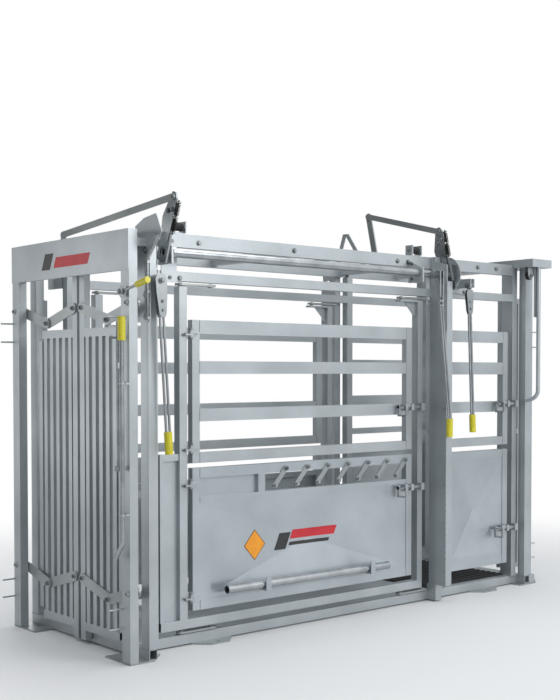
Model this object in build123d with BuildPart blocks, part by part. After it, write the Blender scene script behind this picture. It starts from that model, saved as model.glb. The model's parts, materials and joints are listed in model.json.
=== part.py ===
"""Cattle squeeze chute: a welded tube frame with a two-door headgate, two squeeze sides on
parallel links, side gates with drop latches, a rear bay and a two-door tailgate.

Millimetres, +Z up. The origin is on the floor, at the centre of the four anchor holes.
The headgate is towards -X, and the operator's side, called near, is towards -Y."""
from build123d import *
import math
import os

# Overall sizes
front_x = -1800.0            # front of the headgate posts
half_width = 613.0           # centre plane to the outside of the headgate posts
frame_top = 2200.0           # floor to the top of the headgate

# Stock
tube = 50.0                  # square tube of the body frame
wall = 4.0                   # wall of every hollow tube
thin_wall = 3.0              # wall of gate and door tubes
plate = 8.0                  # foot plates, links, arms and brackets
sheet = 3.0                  # infill sheets
pin_r = 8.0                  # pivot pins
fit = 0.05                   # radial clearance of a pin in its hole
gap = 3.0                    # clearance between pieces that move past each other

# Base
base_half = 433.0            # centre plane to the outside of the base beams
base_top = 62.0              # floor to the top of the base beams
anchor_y = 488.0             # origin to the anchor holes, along Y
anchor_r = 10.0
mat_t = 12.0                 # rubber mat

# Body sides
side_out = 448.0             # centre plane to the outside of the squeeze sides
side_in = side_out - tube
side_low = 95.0              # underside of a squeeze side
side_post_top = frame_top - 261.0
rail_low = side_post_top + 29.0  # fixed side rail
roof_low = frame_top - 52.0  # roof beam
roof_high = roof_low + 72.0
hinge_post_x = front_x + 425.0
gate_x0 = hinge_post_x + tube + 38.0
gate_length = 1727.0
gate_x1 = gate_x0 + gate_length
latch_post_x = gate_x1 + 48.0
latch_post_w = 45.0
gate_t = 40.0                # thickness of the gates
gate_out = side_out - 5.0    # centre plane to the outside of the gates
upper_gate_z = (990.0, side_post_top - 175.0)
lower_gate_z = (185.0, 961.0)
stile_w = 50.0

# Squeeze linkage
link_length = 200.0
link_w = 60.0
link_y = 423.0               # centre plane to the link pivots
top_link_z = side_post_top + 8.0
low_link_z = base_top + 9.0

# Mid frame
mid_x = latch_post_x + 112.0  # front face of the mid frame
channel_y = (side_out, side_out + 143.0)
channel_d = 56.0
channel_z = (112.0, frame_top - 460.0)
mid_post_top = frame_top - 140.0

# Squeeze shaft and rockers
shaft_r = 24.0
shaft_y = 530.0
shaft_z = frame_top - 95.0
shaft_x = (-1530.0, mid_x + 100.0)
shaft_bore = 18.0

# Headgate
post_w = 75.0                # along Y
post_d = 50.0                # along X
header_z = frame_top - 205.0
body_post_x = front_x + 115.0
body_post_w = 70.0
body_post_top = frame_top - 42.0
arm_length = 283.6
arm_w = 56.0
arm_rise = 75.0              # frame pivot above the knee when the doors are shut
arm_pivot_in = 24.0          # frame pivot from the outside of the post
arm_pivot_z = (362.0, frame_top - 370.0)
arm_a_x = front_x + post_d + gap
arm_b_x = arm_a_x + plate + 1.0
door_x = arm_b_x + plate + 2.0
door_t = 38.0
door_edge = 13.0             # centre plane to the inner edge of each door
door_edge_w = 48.0
door_outer = 438.0           # centre plane to the outer edge of each door
door_z = (77.0, frame_top - 483.0)
door_edge_z = (23.0, frame_top - 104.0)
door_bar = 45.0
door_slats = 5

# Rear bay
rear_gate_length = 636.0
rear_gate_x = (mid_x + 116.0 + tube, mid_x + 116.0 + tube + rear_gate_length)
rear_upper_z = (985.0, side_post_top - 182.0)
rear_lower_z = (163.0, 952.0)
rear_hinge_x = rear_gate_x[0] - 38.0 - tube
rear_post_x = rear_gate_x[1] + 43.0
rear_x = rear_post_x + 135.0   # rear end of the base frame
corner_post_x = rear_post_x + 75.0
header_x = (rear_post_x + 6.0, rear_post_x + 216.0)
header_bottom = frame_top
header_h = 54.0
cap_t = 4.0                  # end plates of the rear header
leaf_length = 165.0          # between the hinge lines of a tail leaf
leaf_t = 30.0
leaf_z = (95.0, frame_top - 200.0)
leaf_hinge_x = rear_post_x + 67.0
leaf_hinge_y = 342.0
leaf_open = 82.0             # degrees of the leaves from the closed line, at rest

handle_x = header_x[0] + 96.0  # bar that hangs from the rear header
handle_r = 14.0
handle_foot_z = 1290.0

# Foot plates and anchor tabs
anchor_x = rear_x - 430.0    # origin to the anchor holes, along X
foot_set = 240.0             # width of a front foot plate, along Y
tab_half = 140.0             # half the length of an anchor tab

# Hinges and slam latches
hinge_off = 19.0             # hinge axis from the edge of the post and of the gate
hinge_out = side_out + 9.0   # centre plane to the hinge axis
hinge_heights = (263.0, 876.0, 1069.0, 1689.0)
rear_hinge_heights = (275.0, 888.0, 1081.0, 1701.0)
latch_upper_z = 1262.0
latch_lower_z = 752.0
rear_latch_upper_z = 1266.0
rear_latch_lower_z = 410.0
bolt_h = 20.0

# Drop latches of the near lower gate
slot_z = (803.0, 906.0)      # open row for the drop latches
slot_x0 = gate_x0 + 512.0
latch_count = 7
latch_pitch = (gate_x1 - stile_w - slot_x0) / latch_count
drop_pivot_z = 928.0
drop_length = 128.0          # pivot to the foot
drop_lean = 42.0             # degrees from upright

# Loose round tube on the near lower gate
stored_x = (gate_x0 + 192.0, gate_x1 - 270.0)
stored_r = 24.0
stored_z = 286.0
holder_x = (stored_x[0] + 255.0, stored_x[1] - 180.0)
stored_y = -gate_out - 56.0

# Rails of the barred gates and the pressed sheets of the lower ones
upper_rails = [(1214.0, 1283.0), (1472.0, 1542.0)]
rear_rails = [(1212.0, 1283.0), (1466.0, 1548.0)]
far_rails = ((163, 213), (912, 952), (1042, 1082), (1245, 1315), (1500, 1570))
low_rail_h = 55.0
top_rail_h = 75.0
press_rise = 34.0            # rim to the point of a pressed sheet
bolt_reach = 44.0            # gate's edge to the tip of a slam bolt
rear_bolt_reach = 39.0

# Hand levers
lever_hub_r = 24.0
release_z = frame_top - 315.0
hook_heights = (180.0, 280.0, frame_top - 545.0, frame_top - 440.0)
head_lever_pivot = (front_x + 158, frame_top - 255.0)
head_lever_end = (front_x + 213, 1062.0)
head_lever_y = -half_width - 40
tail_lever_pivot = (mid_x + 255, frame_top - 155.0)
tail_lever_end = (mid_x + 300, 1089.0)
tail_lever_y = -half_width + 55
squeeze_lever_x = shaft_x[1] - 190
squeeze_lever_end = (squeeze_lever_x + 85, 1071.0)
grip_r = 21.0
lever_rod_r = 7.0

# Squeeze link pivots
front_link_x = hinge_post_x + tube / 2
rear_link_x = mid_x - 40.0 - link_length
link_t = 11.0

# Rockers on the shaft
rocker_r = 290.0             # shaft to the cross link's pin
front_lean = -20.0           # degrees, towards the operator
rear_lean = 13.0             # degrees, away from the operator
front_span = 1110.0          # between the near and far pivots, along Y
front_drop = -95.0           # far pivot below the near one
rear_span = 640.0
rear_drop = 160.0
front_rocker_x = shaft_x[0] - 10
rear_rocker_x = mid_x + 60.0
near_pivot = (-shaft_y, shaft_z)
front_far_pivot = (-shaft_y + front_span, shaft_z + front_drop)
rear_far_pivot = (-shaft_y + rear_span, shaft_z + rear_drop)

# Rods and hooks at the front
rods_x = front_x - 36.0
rods_y = -half_width + 14.0
hook_r = 5.0
hook_reach = 80.0

NEAR = -1
FAR = 1


def across(side, inner, outer):
    """Range in Y between two distances from the centre plane, on one side of it."""
    return tuple(sorted((side * inner, side * outer)))


def middle(span):
    """Middle of a range."""
    return (span[0] + span[1]) / 2


def profile_plane(axis, start):
    """Plane across an axis at a place along it, whose extrusion runs to the positive end."""
    if axis == 0:
        return Plane.YZ.offset(start)
    if axis == 1:
        return Plane((0, start, 0), x_dir=(0, 0, 1), z_dir=(0, 1, 0))
    return Plane.XY.offset(start)


def bar(x, y, z, thickness=wall):
    """Hollow tube that fills the box x, y, z, open at both ends of its longest side."""
    spans = (x, y, z)
    sizes = [high - low for low, high in spans]
    axis = sizes.index(max(sizes))
    across_axes = {0: (1, 2), 1: (2, 0), 2: (0, 1)}[axis]
    wide, tall = (sizes[i] for i in across_axes)
    centre = tuple(middle(spans[i]) for i in across_axes)
    with BuildPart() as piece:
        with BuildSketch(profile_plane(axis, spans[axis][0])):
            with Locations(centre):
                Rectangle(wide, tall)
                Rectangle(wide - 2 * thickness, tall - 2 * thickness, mode=Mode.SUBTRACT)
        extrude(amount=sizes[axis])
    return piece.part


def block(x, y, z):
    """Solid block that fills the box x, y, z."""
    with BuildPart() as piece:
        with BuildSketch(Plane.XY.offset(z[0])):
            with Locations((middle(x), middle(y))):
                Rectangle(x[1] - x[0], y[1] - y[0])
        extrude(amount=z[1] - z[0])
    return piece.part


def rod(start, end, radius, bore=0.0):
    """Round bar or tube between two points."""
    axis = Vector(*end) - Vector(*start)
    with BuildPart() as piece:
        with BuildSketch(Plane(start, z_dir=axis.normalized())):
            Circle(radius)
            if bore:
                Circle(bore, mode=Mode.SUBTRACT)
        extrude(amount=axis.length)
    return piece.part


def flat(plane, points, thickness, holes=(), hole_r=pin_r + fit):
    """Plate cut to an outline on a plane, with round holes."""
    with BuildPart() as piece:
        with BuildSketch(plane):
            with BuildLine():
                Polyline(*points, close=True)
            make_face()
            if holes:
                with Locations(*holes):
                    Circle(hole_r, mode=Mode.SUBTRACT)
        extrude(amount=thickness)
    return piece.part


def strap(plane, start, end, width, thickness, hole_r=pin_r + fit, holes=True):
    """Flat bar with round ends between two centres on a plane, with a hole at each."""
    run = Vector(*end) - Vector(*start)
    turn = math.degrees(math.atan2(run.Y, run.X))
    with BuildPart() as piece:
        with BuildSketch(plane):
            with Locations(Location(((start[0] + end[0]) / 2, (start[1] + end[1]) / 2), turn)):
                SlotCenterToCenter(run.length, width)
            if holes:
                with Locations(start, end):
                    Circle(hole_r, mode=Mode.SUBTRACT)
        extrude(amount=thickness)
    return piece.part


def at_x(x):
    """Plane across X whose local axes are Y and Z."""
    return Plane.YZ.offset(x)


def at_y(y):
    """Plane across Y whose local axes are X and Z, and whose extrusion runs towards -Y."""
    return Plane.XZ.offset(-y)


def save(label, pieces):
    """Write one node: its pieces stay separate solids that meet face to face."""
    node = Compound([solid for piece in pieces for solid in piece.solids()])
    node.label = label
    export_step(node, f"parts/{label}.step")


# ---------------------------------------------------------------- fixed frame

def base_frame():
    """Beams on the floor: two sides, a wide front beam and cross members."""
    beam_z = (plate, base_top)
    x0 = body_post_x
    pieces = [bar((x0, x0 + tube), (-half_width, half_width), beam_z)]
    for side in (NEAR, FAR):
        pieces.append(bar((x0 + tube, rear_x - tube), across(side, base_half - tube, base_half), beam_z))
    pieces.append(bar((rear_x - tube, rear_x), (-side_out - 55, side_out + 55), beam_z))
    for side in (NEAR, FAR):
        pieces.append(bar((rear_x, rear_x + 56), across(side, side_out, side_out + 55), beam_z))
    inner = base_half - tube
    for x in (-950.0, -200.0, mid_x + 41.0):
        pieces.append(bar((x, x + tube), (-inner, inner), (plate, base_top - 6)))
    return pieces + floor_pan()


def floor_pan():
    """Steel floor sheets between the side beams, in the squeeze bay and the rear bay."""
    inner = base_half - tube
    z = (base_top - 6, base_top)
    front = body_post_x + tube
    pieces = [block((front, mid_x + 41), (-inner, inner), z)]
    pieces.append(block((mid_x + 41, rear_x - tube), (-inner, inner), z))
    return pieces


def rubber_mat():
    """Ribbed rubber mat on the rear bay's floor."""
    half = base_half - tube - 5
    x = (mid_x + 60, rear_post_x - 5)
    pieces = [block(x, (-half, half), (base_top, base_top + mat_t - 4))]
    ribs = 16
    pitch = (2 * half) / ribs
    with BuildPart() as rib_set:
        with BuildSketch(Plane.XY.offset(base_top + mat_t - 4)):
            with Locations((middle(x), 0)):
                with GridLocations(0, pitch, 1, ribs):
                    Rectangle(x[1] - x[0], pitch / 2)
        extrude(amount=4)
    pieces.append(rib_set.part)
    return pieces


def anchor_plates():
    """Foot plates under the corners and four anchor tabs beside the base beams."""
    pieces = []
    for side in (NEAR, FAR):
        out = half_width
        front = [(front_x, side * out), (front_x + 143, side * out), (front_x + 244, side * (out - 90)),
                 (front_x + 244, side * (out - 170)), (front_x + 150, side * (out - foot_set)),
                 (front_x, side * (out - foot_set))]
        pieces.append(flat(Plane.XY, front, plate, [(front_x + 85, side * (out - 120))], anchor_r))
        rear = [(rear_x - 110, side * (base_half - 60)), (rear_x - 110, side * (side_out + 62)),
                (rear_x + 60, side * (side_out + 62)), (rear_x + 150, side * (side_out - 10)),
                (rear_x + 150, side * (base_half - 60))]
        pieces.append(flat(Plane.XY, rear, plate, [(rear_x + 90, side * (base_half + 20))], anchor_r))
        for x in (-anchor_x, anchor_x):
            tab = [(x - tab_half, side * (base_half - 40)), (x - tab_half, side * base_half),
                   (x - 60, side * (anchor_y + 28)), (x + 60, side * (anchor_y + 28)),
                   (x + tab_half, side * base_half), (x + tab_half, side * (base_half - 40))]
            pieces.append(flat(Plane.XY, tab, plate, [(x, side * anchor_y)], anchor_r))
    return pieces


def headgate_frame():
    """Two headgate posts under a header, the body posts behind them, and their ties."""
    x = (front_x, front_x + post_d)
    inner = half_width - post_w
    back = (body_post_x, body_post_x + tube)
    pieces = []
    for side in (NEAR, FAR):
        pieces.append(bar(x, across(side, inner, half_width), (plate, frame_top)))
        body_post = across(side, half_width - body_post_w, half_width)
        pieces.append(bar(back, body_post, (base_top, body_post_top)))
        tie = (body_post_top - 40, body_post_top)
        pieces.append(bar((x[1], back[0]), across(side, inner + 15, half_width - 10), tie))
        guide = across(side, half_width - body_post_w - 3, half_width - body_post_w)
        pieces.append(block((back[1], back[1] + 20), guide, (200, header_z - 95)))
    pieces.append(bar(x, (-inner, inner), (frame_top - tube, frame_top)))
    pieces.append(bar(x, (-inner, inner), (header_z + 5, header_z + 45)))
    pieces.append(block((front_x - 4, front_x), (-half_width, half_width), (header_z, frame_top)))
    reach = half_width - body_post_w
    pieces.append(bar(back, (-reach, reach), (body_post_top - 50, body_post_top)))
    crest = header_z + 67
    edge = -half_width
    crown = [(edge + 90, header_z - 260), (edge - 20, header_z - 260), (edge - 22, crest),
             (edge - 128, crest + 118), (edge - 78, crest + 214), (edge + 30, crest + 200),
             (edge + 110, crest + 165)]
    crown_x = body_post_x - 5
    pieces.append(flat(at_x(crown_x), crown, 5.0))
    return pieces


def roof_beams():
    """Roof beams, the fixed side rails below them, the front inner posts and cross beams."""
    pieces = []
    front = body_post_x + tube
    for side in (NEAR, FAR):
        y = across(side, side_in, side_out)
        pieces.append(bar((front, mid_x + channel_d), y, (roof_low, roof_high)))
        pieces.append(bar((rear_hinge_x + 12, rear_post_x), y, (roof_low, roof_high)))
        pieces.append(bar((front + 120, rear_hinge_x), y, (rail_low, rail_low + tube)))
        pieces.append(bar((rear_hinge_x + tube, rear_post_x), y, (rail_low, rail_low + tube)))
        pieces.append(bar((front + 70, front + 120), y, (base_top, roof_low)))
        pieces.append(block((front + 140, front + 240), across(side, side_out, side_out + 6),
                            (rail_low - 10, roof_high - 20)))
        for x in (front + 210, mid_x - 180):
            pieces.extend(buffer_bracket(x, side))
    for x in (front + 20, front + 1115, mid_x, middle(rear_gate_x) + 66):
        pieces.append(bar((x, x + tube), (-side_in, side_in), (roof_low + 11, roof_low + 61)))
    return pieces


def buffer_bracket(x, side):
    """U bracket on a roof beam that carries a rubber buffer between two cheeks."""
    y = across(side, side_in + 4, side_out + 14)
    pieces = [block((x, x + 90), across(side, side_in + 4, side_out), (roof_high, roof_high + 6))]
    for low in (x, x + 82):
        pieces.append(block((low, low + plate), y, (roof_high + 6, roof_high + 66)))
    middle_y = middle(y)
    pieces.append(rod((x + plate, middle_y, roof_high + 38), (x + 82, middle_y, roof_high + 38), 22, pin_r))
    return pieces


def mid_frame():
    """Wide posts between the squeeze bay and the rear bay, each with a plate in front."""
    pieces = []
    x = mid_x
    web = 6.0
    for side in (NEAR, FAR):
        inner, outer = channel_y
        y = across(side, inner, outer)
        holes = [(side * (outer - 14), z) for z in (760.0, 1250.0)]
        corners = [(y[0], channel_z[0]), (y[1], channel_z[0]), (y[1], channel_z[1]), (y[0], channel_z[1])]
        pieces.append(flat(at_x(x), corners, web, holes, 9.0))
        pieces.append(bar((x + web, x + channel_d), y, (channel_z[0], mid_post_top)))
        post = across(side, inner, inner + 40)
        pieces.append(bar((x + web, x + channel_d), post, (mid_post_top, roof_high)))
        pieces.append(block((x, x + channel_d), across(side, base_half, channel_y[0] + 60),
                            (plate, channel_z[0])))
        bearing = [(side * (inner + 40), mid_post_top), (side * (shaft_y + 50), mid_post_top),
                   (side * (shaft_y + 50), shaft_z + 60), (side * (inner + 40), shaft_z + 85)]
        pieces.append(flat(at_x(x + web + 5), bearing, 12.0, [(side * shaft_y, shaft_z)], shaft_r + 0.5))
    # Bracket of the tailgate lever, and the braced stand on the far side of the roof
    lever = [(x + 145, shaft_z - 5), (x + 145, shaft_z - 95), (x + 350, shaft_z - 115),
             (x + 350, shaft_z - 45), (x + 300, shaft_z - 5)]
    pieces.append(flat(at_y(-side_out), lever, plate))
    peak = roof_high + 220
    brace = [(side_out - 30, roof_high), (side_out, roof_high), (side_out - 80, peak), (side_out - 112, peak)]
    pieces.append(flat(at_x(x + 4), brace, plate))
    leg = [(150.0, roof_low + 61), (186.0, roof_low + 61), (side_out - 90, peak), (side_out - 126, peak)]
    pieces.append(flat(at_x(x + 4 + plate), leg, plate))
    return pieces


def rear_frame():
    """Posts at the rear, hinge posts of the rear gates, the header box and its fittings."""
    pieces = []
    for side in (NEAR, FAR):
        y = across(side, side_in, side_out)
        pieces.append(bar((rear_hinge_x, rear_hinge_x + tube), y, (base_top, roof_low)))
        pieces.append(bar((rear_post_x, rear_post_x + tube), y, (base_top, header_bottom)))
        corner = across(side, side_out, side_out + 55)
        pieces.append(bar((corner_post_x, corner_post_x + 55), corner, (base_top, header_bottom)))
        jamb = across(side, leaf_hinge_y + 12, side_in)
        pieces.append(bar((rear_post_x, rear_post_x + 40), jamb, (base_top, header_bottom)))
        for z in (leaf_z[0] - 20, leaf_z[1] + 10):
            lug = across(side, leaf_hinge_y - 12, leaf_hinge_y + 12)
            pieces.append(block((rear_post_x + 40, leaf_hinge_x + 14), lug, (z, z + 10)))
            pieces.append(block((rear_post_x + 20, rear_post_x + 40), lug, (z, z + 10)))
        pieces.append(bar((corner_post_x + 80, corner_post_x + 110), across(side, side_out, side_out + 30),
                          (base_top, header_bottom)))
    for z in rear_hinge_heights:
        pieces.append(hinge_pin(rear_hinge_x + tube, NEAR, z))
    for z in (rear_latch_upper_z, rear_latch_lower_z):
        pieces.extend(keeper(rear_post_x, NEAR, z))
    ends = half_width - cap_t
    header_z_span = (header_bottom, header_bottom + header_h)
    pieces.append(bar(header_x, (-ends, ends), header_z_span))
    for side in (NEAR, FAR):
        pieces.append(block(header_x, across(side, ends, half_width), header_z_span))
    return pieces + far_rear_panel() + tail_handle()


def far_rear_panel():
    """Fixed rails and a sheet on the far side of the rear bay."""
    y = across(FAR, gate_out - gate_t, gate_out)
    x = (rear_hinge_x + tube, rear_post_x)
    pieces = []
    for low, high in (*far_rails, (rear_upper_z[1] - 67, rear_upper_z[1])):
        pieces.append(bar(x, y, (low, high), thin_wall))
    mid = middle(y)
    pieces.append(block(x, (mid, mid + sheet), (far_rails[0][1], far_rails[1][0])))
    return pieces


def tail_handle():
    """J-shaped bar that hangs from the rear header, bends in at the foot and is welded to the
    rear corner post."""
    x = handle_x
    y = -half_width + 22
    turn = 70.0
    foot_z = handle_foot_z
    heel = (x, y, foot_z + turn)
    toe = (x - 22, y + turn, foot_z)
    pieces = [rod((x, y, header_bottom), heel, handle_r)]
    with BuildPart() as bend:
        with BuildLine():
            Spline(heel, toe, tangents=((0, 0, -1), (-0.3, 1, 0)), tangent_scalars=(1.2, 1.2))
        with BuildSketch(Plane(heel, z_dir=(0, 0, -1))):
            Circle(handle_r)
        sweep()
    pieces.append(bend.part)
    post = (x - 22 - 0.3 * (-side_out - 55 - y - turn), -side_out - 55, foot_z)
    pieces.append(rod(toe, post, handle_r))
    pieces.append(block((x - 25, x + 25), (y + handle_r, y + handle_r + plate), (1860, header_bottom)))
    return pieces


# ---------------------------------------------------------------- headgate

def knee(side, z):
    """Frame pivot, knee and door pivot of one pair of arms, as Y and Z."""
    start = side * (half_width - arm_pivot_in)
    run = math.sqrt(arm_length ** 2 - arm_rise ** 2)
    return (start, z), (start - side * run, z - arm_rise), (start - 2 * side * run, z)


def outer_arm(side, z):
    """Arm from the headgate post to the knee, with the knee pin."""
    pivot, bend, _ = knee(side, z)
    with BuildPart() as arm:
        add(strap(at_x(arm_a_x), pivot, bend, arm_w, plate))
        add(rod((arm_a_x - 10, *bend), (arm_a_x, *bend), 13))
        add(rod((arm_a_x - 2, *bend), (arm_b_x + plate, *bend), pin_r))
    return [arm.part]


def inner_arm(side, z):
    """Arm from the knee to the door."""
    _, bend, grip = knee(side, z)
    return [strap(at_x(arm_b_x), bend, grip, arm_w, plate)]


def headgate_door(side):
    """One door: a tall inner edge tube, an outer edge, cross bars, slats and pivot pins."""
    x = (door_x, door_x + door_t)
    pieces = [bar(x, across(side, door_edge, door_edge + door_edge_w), door_edge_z, thin_wall)]
    y_in = door_edge + door_edge_w
    y_out = door_outer
    for low in (door_z[0], door_z[1] - door_bar):
        pieces.append(bar(x, across(side, y_in, y_out - 40), (low, low + door_bar), thin_wall))
    slat_z = (door_z[0] + door_bar, door_z[1] - door_bar)
    pieces.append(bar(x, across(side, y_out - 40, y_out), (door_z[0] + 60, door_z[1] - 60), thin_wall))
    pitch = (y_out - 40 - y_in) / door_slats
    for index in range(door_slats):
        mid = y_in + pitch * (index + 0.45)
        pieces.append(bar(x, across(side, mid - 17, mid + 17), slat_z, thin_wall))
    for z in arm_pivot_z:
        _, _, grip = knee(side, z)
        with BuildPart() as stud:
            add(rod((door_x, *grip), (arm_b_x, *grip), pin_r))
            add(rod((arm_b_x - 0.5, *grip), (arm_b_x - 8, *grip), 13))
        pieces.append(stud.part)
    return pieces


def frame_pins():
    """Pins of the headgate arms through the posts, with round heads in front."""
    pieces = []
    for side in (NEAR, FAR):
        for z in arm_pivot_z:
            pivot, _, _ = knee(side, z)
            with BuildPart() as pin:
                add(rod((front_x + post_d, *pivot), (arm_a_x + plate, *pivot), pin_r))
            pieces.append(pin.part)
            pieces.append(rod((front_x - 9, *pivot), (front_x, *pivot), 15))
    return pieces


# ---------------------------------------------------------------- hand levers

def hand_lever(start, end, y, outwards=False, grip_length=115.0):
    """Twin-rod lever hanging in a plane across Y. Its hub turns on a pin along Y, or on a pin
    along X if the lever swings outwards."""
    hub_half = 12.0
    reach = (hub_half, 0, 0) if outwards else (0, hub_half, 0)
    centre = Vector(start[0], y, start[1])
    run = Vector(end[0] - start[0], 0, end[1] - start[1])
    along = run.normalized()
    side = Vector(-along.Z, 0, along.X) * 11
    low = Vector(end[0], y, end[1]) - along * grip_length
    pieces = []
    with BuildPart() as lever:
        add(rod(tuple(centre - Vector(*reach)), tuple(centre + Vector(*reach)), lever_hub_r, pin_r + fit))
        for shift in (side, side * -1):
            add(rod(tuple(centre + shift + along * 20), tuple(low + shift), lever_rod_r))
    pieces.append(lever.part)
    grip = rod(tuple(low), tuple(low + along * grip_length), grip_r)
    return pieces, [grip]


def lever_pins():
    """Boss and pin of the headgate lever, and the cheeks and pin of the tailgate lever."""
    pieces = []
    x, z = head_lever_pivot
    y = head_lever_y
    pieces.append(rod((x, -half_width, z), (x, y + 15, z), 20))
    pieces.append(rod((x, y + 15, z), (x, y - 15, z), pin_r))
    pieces.append(rod((x, y - 15, z), (x, y - 23, z), 14))
    pieces.append(block((body_post_x + tube, x + 40), (-half_width, -half_width + 40), (z - 40, z + 40)))
    x, z = tail_lever_pivot
    y = tail_lever_y
    for start, end in ((x - 20, x - 13), (x + 13, x + 20)):
        with BuildPart() as cheek:
            add(block((start, end), (y - 30, -side_out - plate), (z - 14, z + 42)))
            add(rod((start - 1, y, z), (end + 1, y, z), pin_r), mode=Mode.SUBTRACT)
        pieces.append(cheek.part)
    pieces.append(rod((x - 20, y, z), (x + 20, y, z), pin_r))
    return pieces


def release_lever():
    """Short lever on the front of the near post: hub plate, and a rod out to the operator."""
    y = -half_width + 28
    x = front_x - 24
    z = release_z
    start = Vector(x + 4, y - 24, z + 6)
    along = Vector(0, -1, 0.2).normalized()
    low = start + along * 110
    with BuildPart() as lever:
        with BuildSketch(at_x(x)):
            with Locations((y, z)):
                RegularPolygon(34, 6)
                Circle(pin_r + fit, mode=Mode.SUBTRACT)
        extrude(amount=plate)
        add(rod(tuple(start), tuple(low), lever_rod_r))
    grip = rod(tuple(low), tuple(low + along * 95), 16)
    return [lever.part], [grip]


def lift_rods():
    """Two vertical rods in front of the near post: one with a grip and a hooked foot, one
    with a round knob, on a common crosspiece."""
    x = rods_x
    y = rods_y
    pieces = []
    with BuildPart() as rods:
        with BuildLine():
            FilletPolyline((x, y, 1640), (x, y, 620), (x, y + 60, 540), radius=30)
        with BuildSketch(Plane((x, y, 1640), z_dir=(0, 0, -1))):
            Circle(12)
        sweep()
    pieces.append(rods.part)
    pieces.append(rod((x, y + 36, 1740), (x, y + 36, 1010), 9))
    pieces.append(rod((x, y + 36, 1010), (x, y + 36, 985), 20))
    pieces.append(block((x - 5, x + 5), (y + 12, y + 27), (1500, 1530)))
    grip = rod((x, y, 1640), (x, y, 1760), 20)
    return pieces, [grip]


def front_fittings():
    """Guide eyes of the lift rods, the release lever's pin, and storage hooks on the posts."""
    x = rods_x
    y = rods_y
    pieces = []
    for z in (760.0, 1420.0):
        pieces.append(block((x + 14, front_x), (y - 14, y + 58), (z, z + 10)))
        pieces.append(rod((x, y, z), (x, y, z + 10), 17, 12.5))
    y_pin = -half_width + 28
    pieces.append(rod((front_x, y_pin, release_z), (front_x - 30, y_pin, release_z), pin_r))
    pieces.append(rod((front_x - 30, y_pin, release_z), (front_x - 38, y_pin, release_z), 14))
    for z in hook_heights:
        for y in (half_width - 12, -half_width + 70):
            pieces.append(rod((front_x, y, z), (front_x - hook_reach, y, z), hook_r))
        start = (corner_post_x + 55, -side_out - 40, z)
        pieces.append(rod(start, (start[0] + hook_reach, start[1], z), hook_r))
    return pieces


# ---------------------------------------------------------------- squeeze sides

def side_frame(side):
    """Moving squeeze side: hinge post, latch post, bottom rail and the filler panel."""
    y = across(side, side_in, side_out)
    x1 = latch_post_x + latch_post_w
    pieces = [bar((hinge_post_x, hinge_post_x + tube), y, (side_low + tube, side_post_top))]
    pieces.append(bar((latch_post_x, x1), y, (side_low + tube, side_post_top)))
    pieces.append(bar((hinge_post_x - 124, x1), y, (side_low, side_low + tube)))
    fx = (hinge_post_x - 124, hinge_post_x)
    fy = across(side, gate_out - gate_t + 2, gate_out - 2)
    pieces.append(bar((fx[0], fx[0] + 22), fy, (side_low + tube, 1043), thin_wall))
    pieces.append(bar((fx[0] + 22, fx[1]), fy, (1007, 1043), thin_wall))
    mid = middle(fy)
    pieces.append(block((fx[0] + 22, fx[1]), (mid, mid + sheet), (side_low + tube, 1007)))
    for z in hinge_heights:
        pieces.append(hinge_pin(hinge_post_x + tube, side, z))
    for z in (latch_upper_z, latch_lower_z):
        pieces.extend(keeper(latch_post_x, side, z))
    bracket = (rear_link_x - 30, latch_post_x)
    pieces.append(block(bracket, across(side, link_y - 25, link_y + 25), (side_post_top - 12, side_post_top)))
    pieces.append(flat(at_y(side * link_y + plate / 2),
                       [(latch_post_x, side_post_top - 12), (latch_post_x, side_post_top - 110),
                        (latch_post_x - 100, side_post_top - 12)], plate))
    return pieces


def hinge_pin(post_edge, side, z):
    """Flat eye on a post with the upright bolt that carries a gate's eye."""
    x = post_edge + hinge_off
    y = side * hinge_out
    with BuildPart() as lug:
        add(block((post_edge - 24, x + 13), across(side, side_out, hinge_out + 13), (z - 10, z - 2)))
        add(rod((x, y, z - 4), (x, y, z + 20), pin_r))
        add(rod((x, y, z - 22), (x, y, z - 10), 12))
    return lug.part


def hinge_eye(gate_edge, side, z):
    """Flat eye on a gate stile that turns on the post's bolt."""
    x = gate_edge - hinge_off
    y = side * hinge_out
    with BuildPart() as eye:
        add(block((x - 13, gate_edge + 34), across(side, gate_out, hinge_out + 13), (z, z + 8)))
        add(rod((x, y, z - 1), (x, y, z + 9), pin_r + fit), mode=Mode.SUBTRACT)
        add(block((x - 40, gate_edge), across(side, 0, side_out + gap), (z - 1, z + 9)), mode=Mode.SUBTRACT)
    return eye.part


def keeper(post_x, side, z):
    """Box keeper on a latch post that a slam bolt enters from the gate."""
    y0 = side_out
    pieces = []
    for low in (z - bolt_h / 2 - 12, z + bolt_h / 2 + 2):
        pieces.append(block((post_x + 2, post_x + 32), across(side, y0, y0 + 34), (low, low + 10)))
    pieces.append(block((post_x + 2, post_x + 32), across(side, y0 + 28, y0 + 34),
                        (z - bolt_h / 2 - 2, z + bolt_h / 2 + 2)))
    return pieces


def slam_latch(gate_edge, side, z, reach):
    """Sliding bolt with a square loop handle, drawn clear of its keeper."""
    y = across(side, gate_out + 12, gate_out + 28)
    tip = gate_edge + reach
    pieces = []
    with BuildPart() as bolt:
        add(block((tip - 190, tip), y, (z - bolt_h / 2, z + bolt_h / 2)))
        x0 = tip - 190
        mid = middle(y)
        loop = [(x0 + 8, mid, z + 8), (x0 + 8, mid + side * 62, z + 8), (x0 + 8, mid + side * 62, z - 52),
                (x0 + 8, mid, z - 52)]
        for start, end in zip(loop, loop[1:]):
            add(rod(start, end, 6))
        add(block((x0, x0 + 16), y, (z - 58, z - bolt_h / 2)))
    pieces.append(bolt.part)
    return pieces


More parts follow.
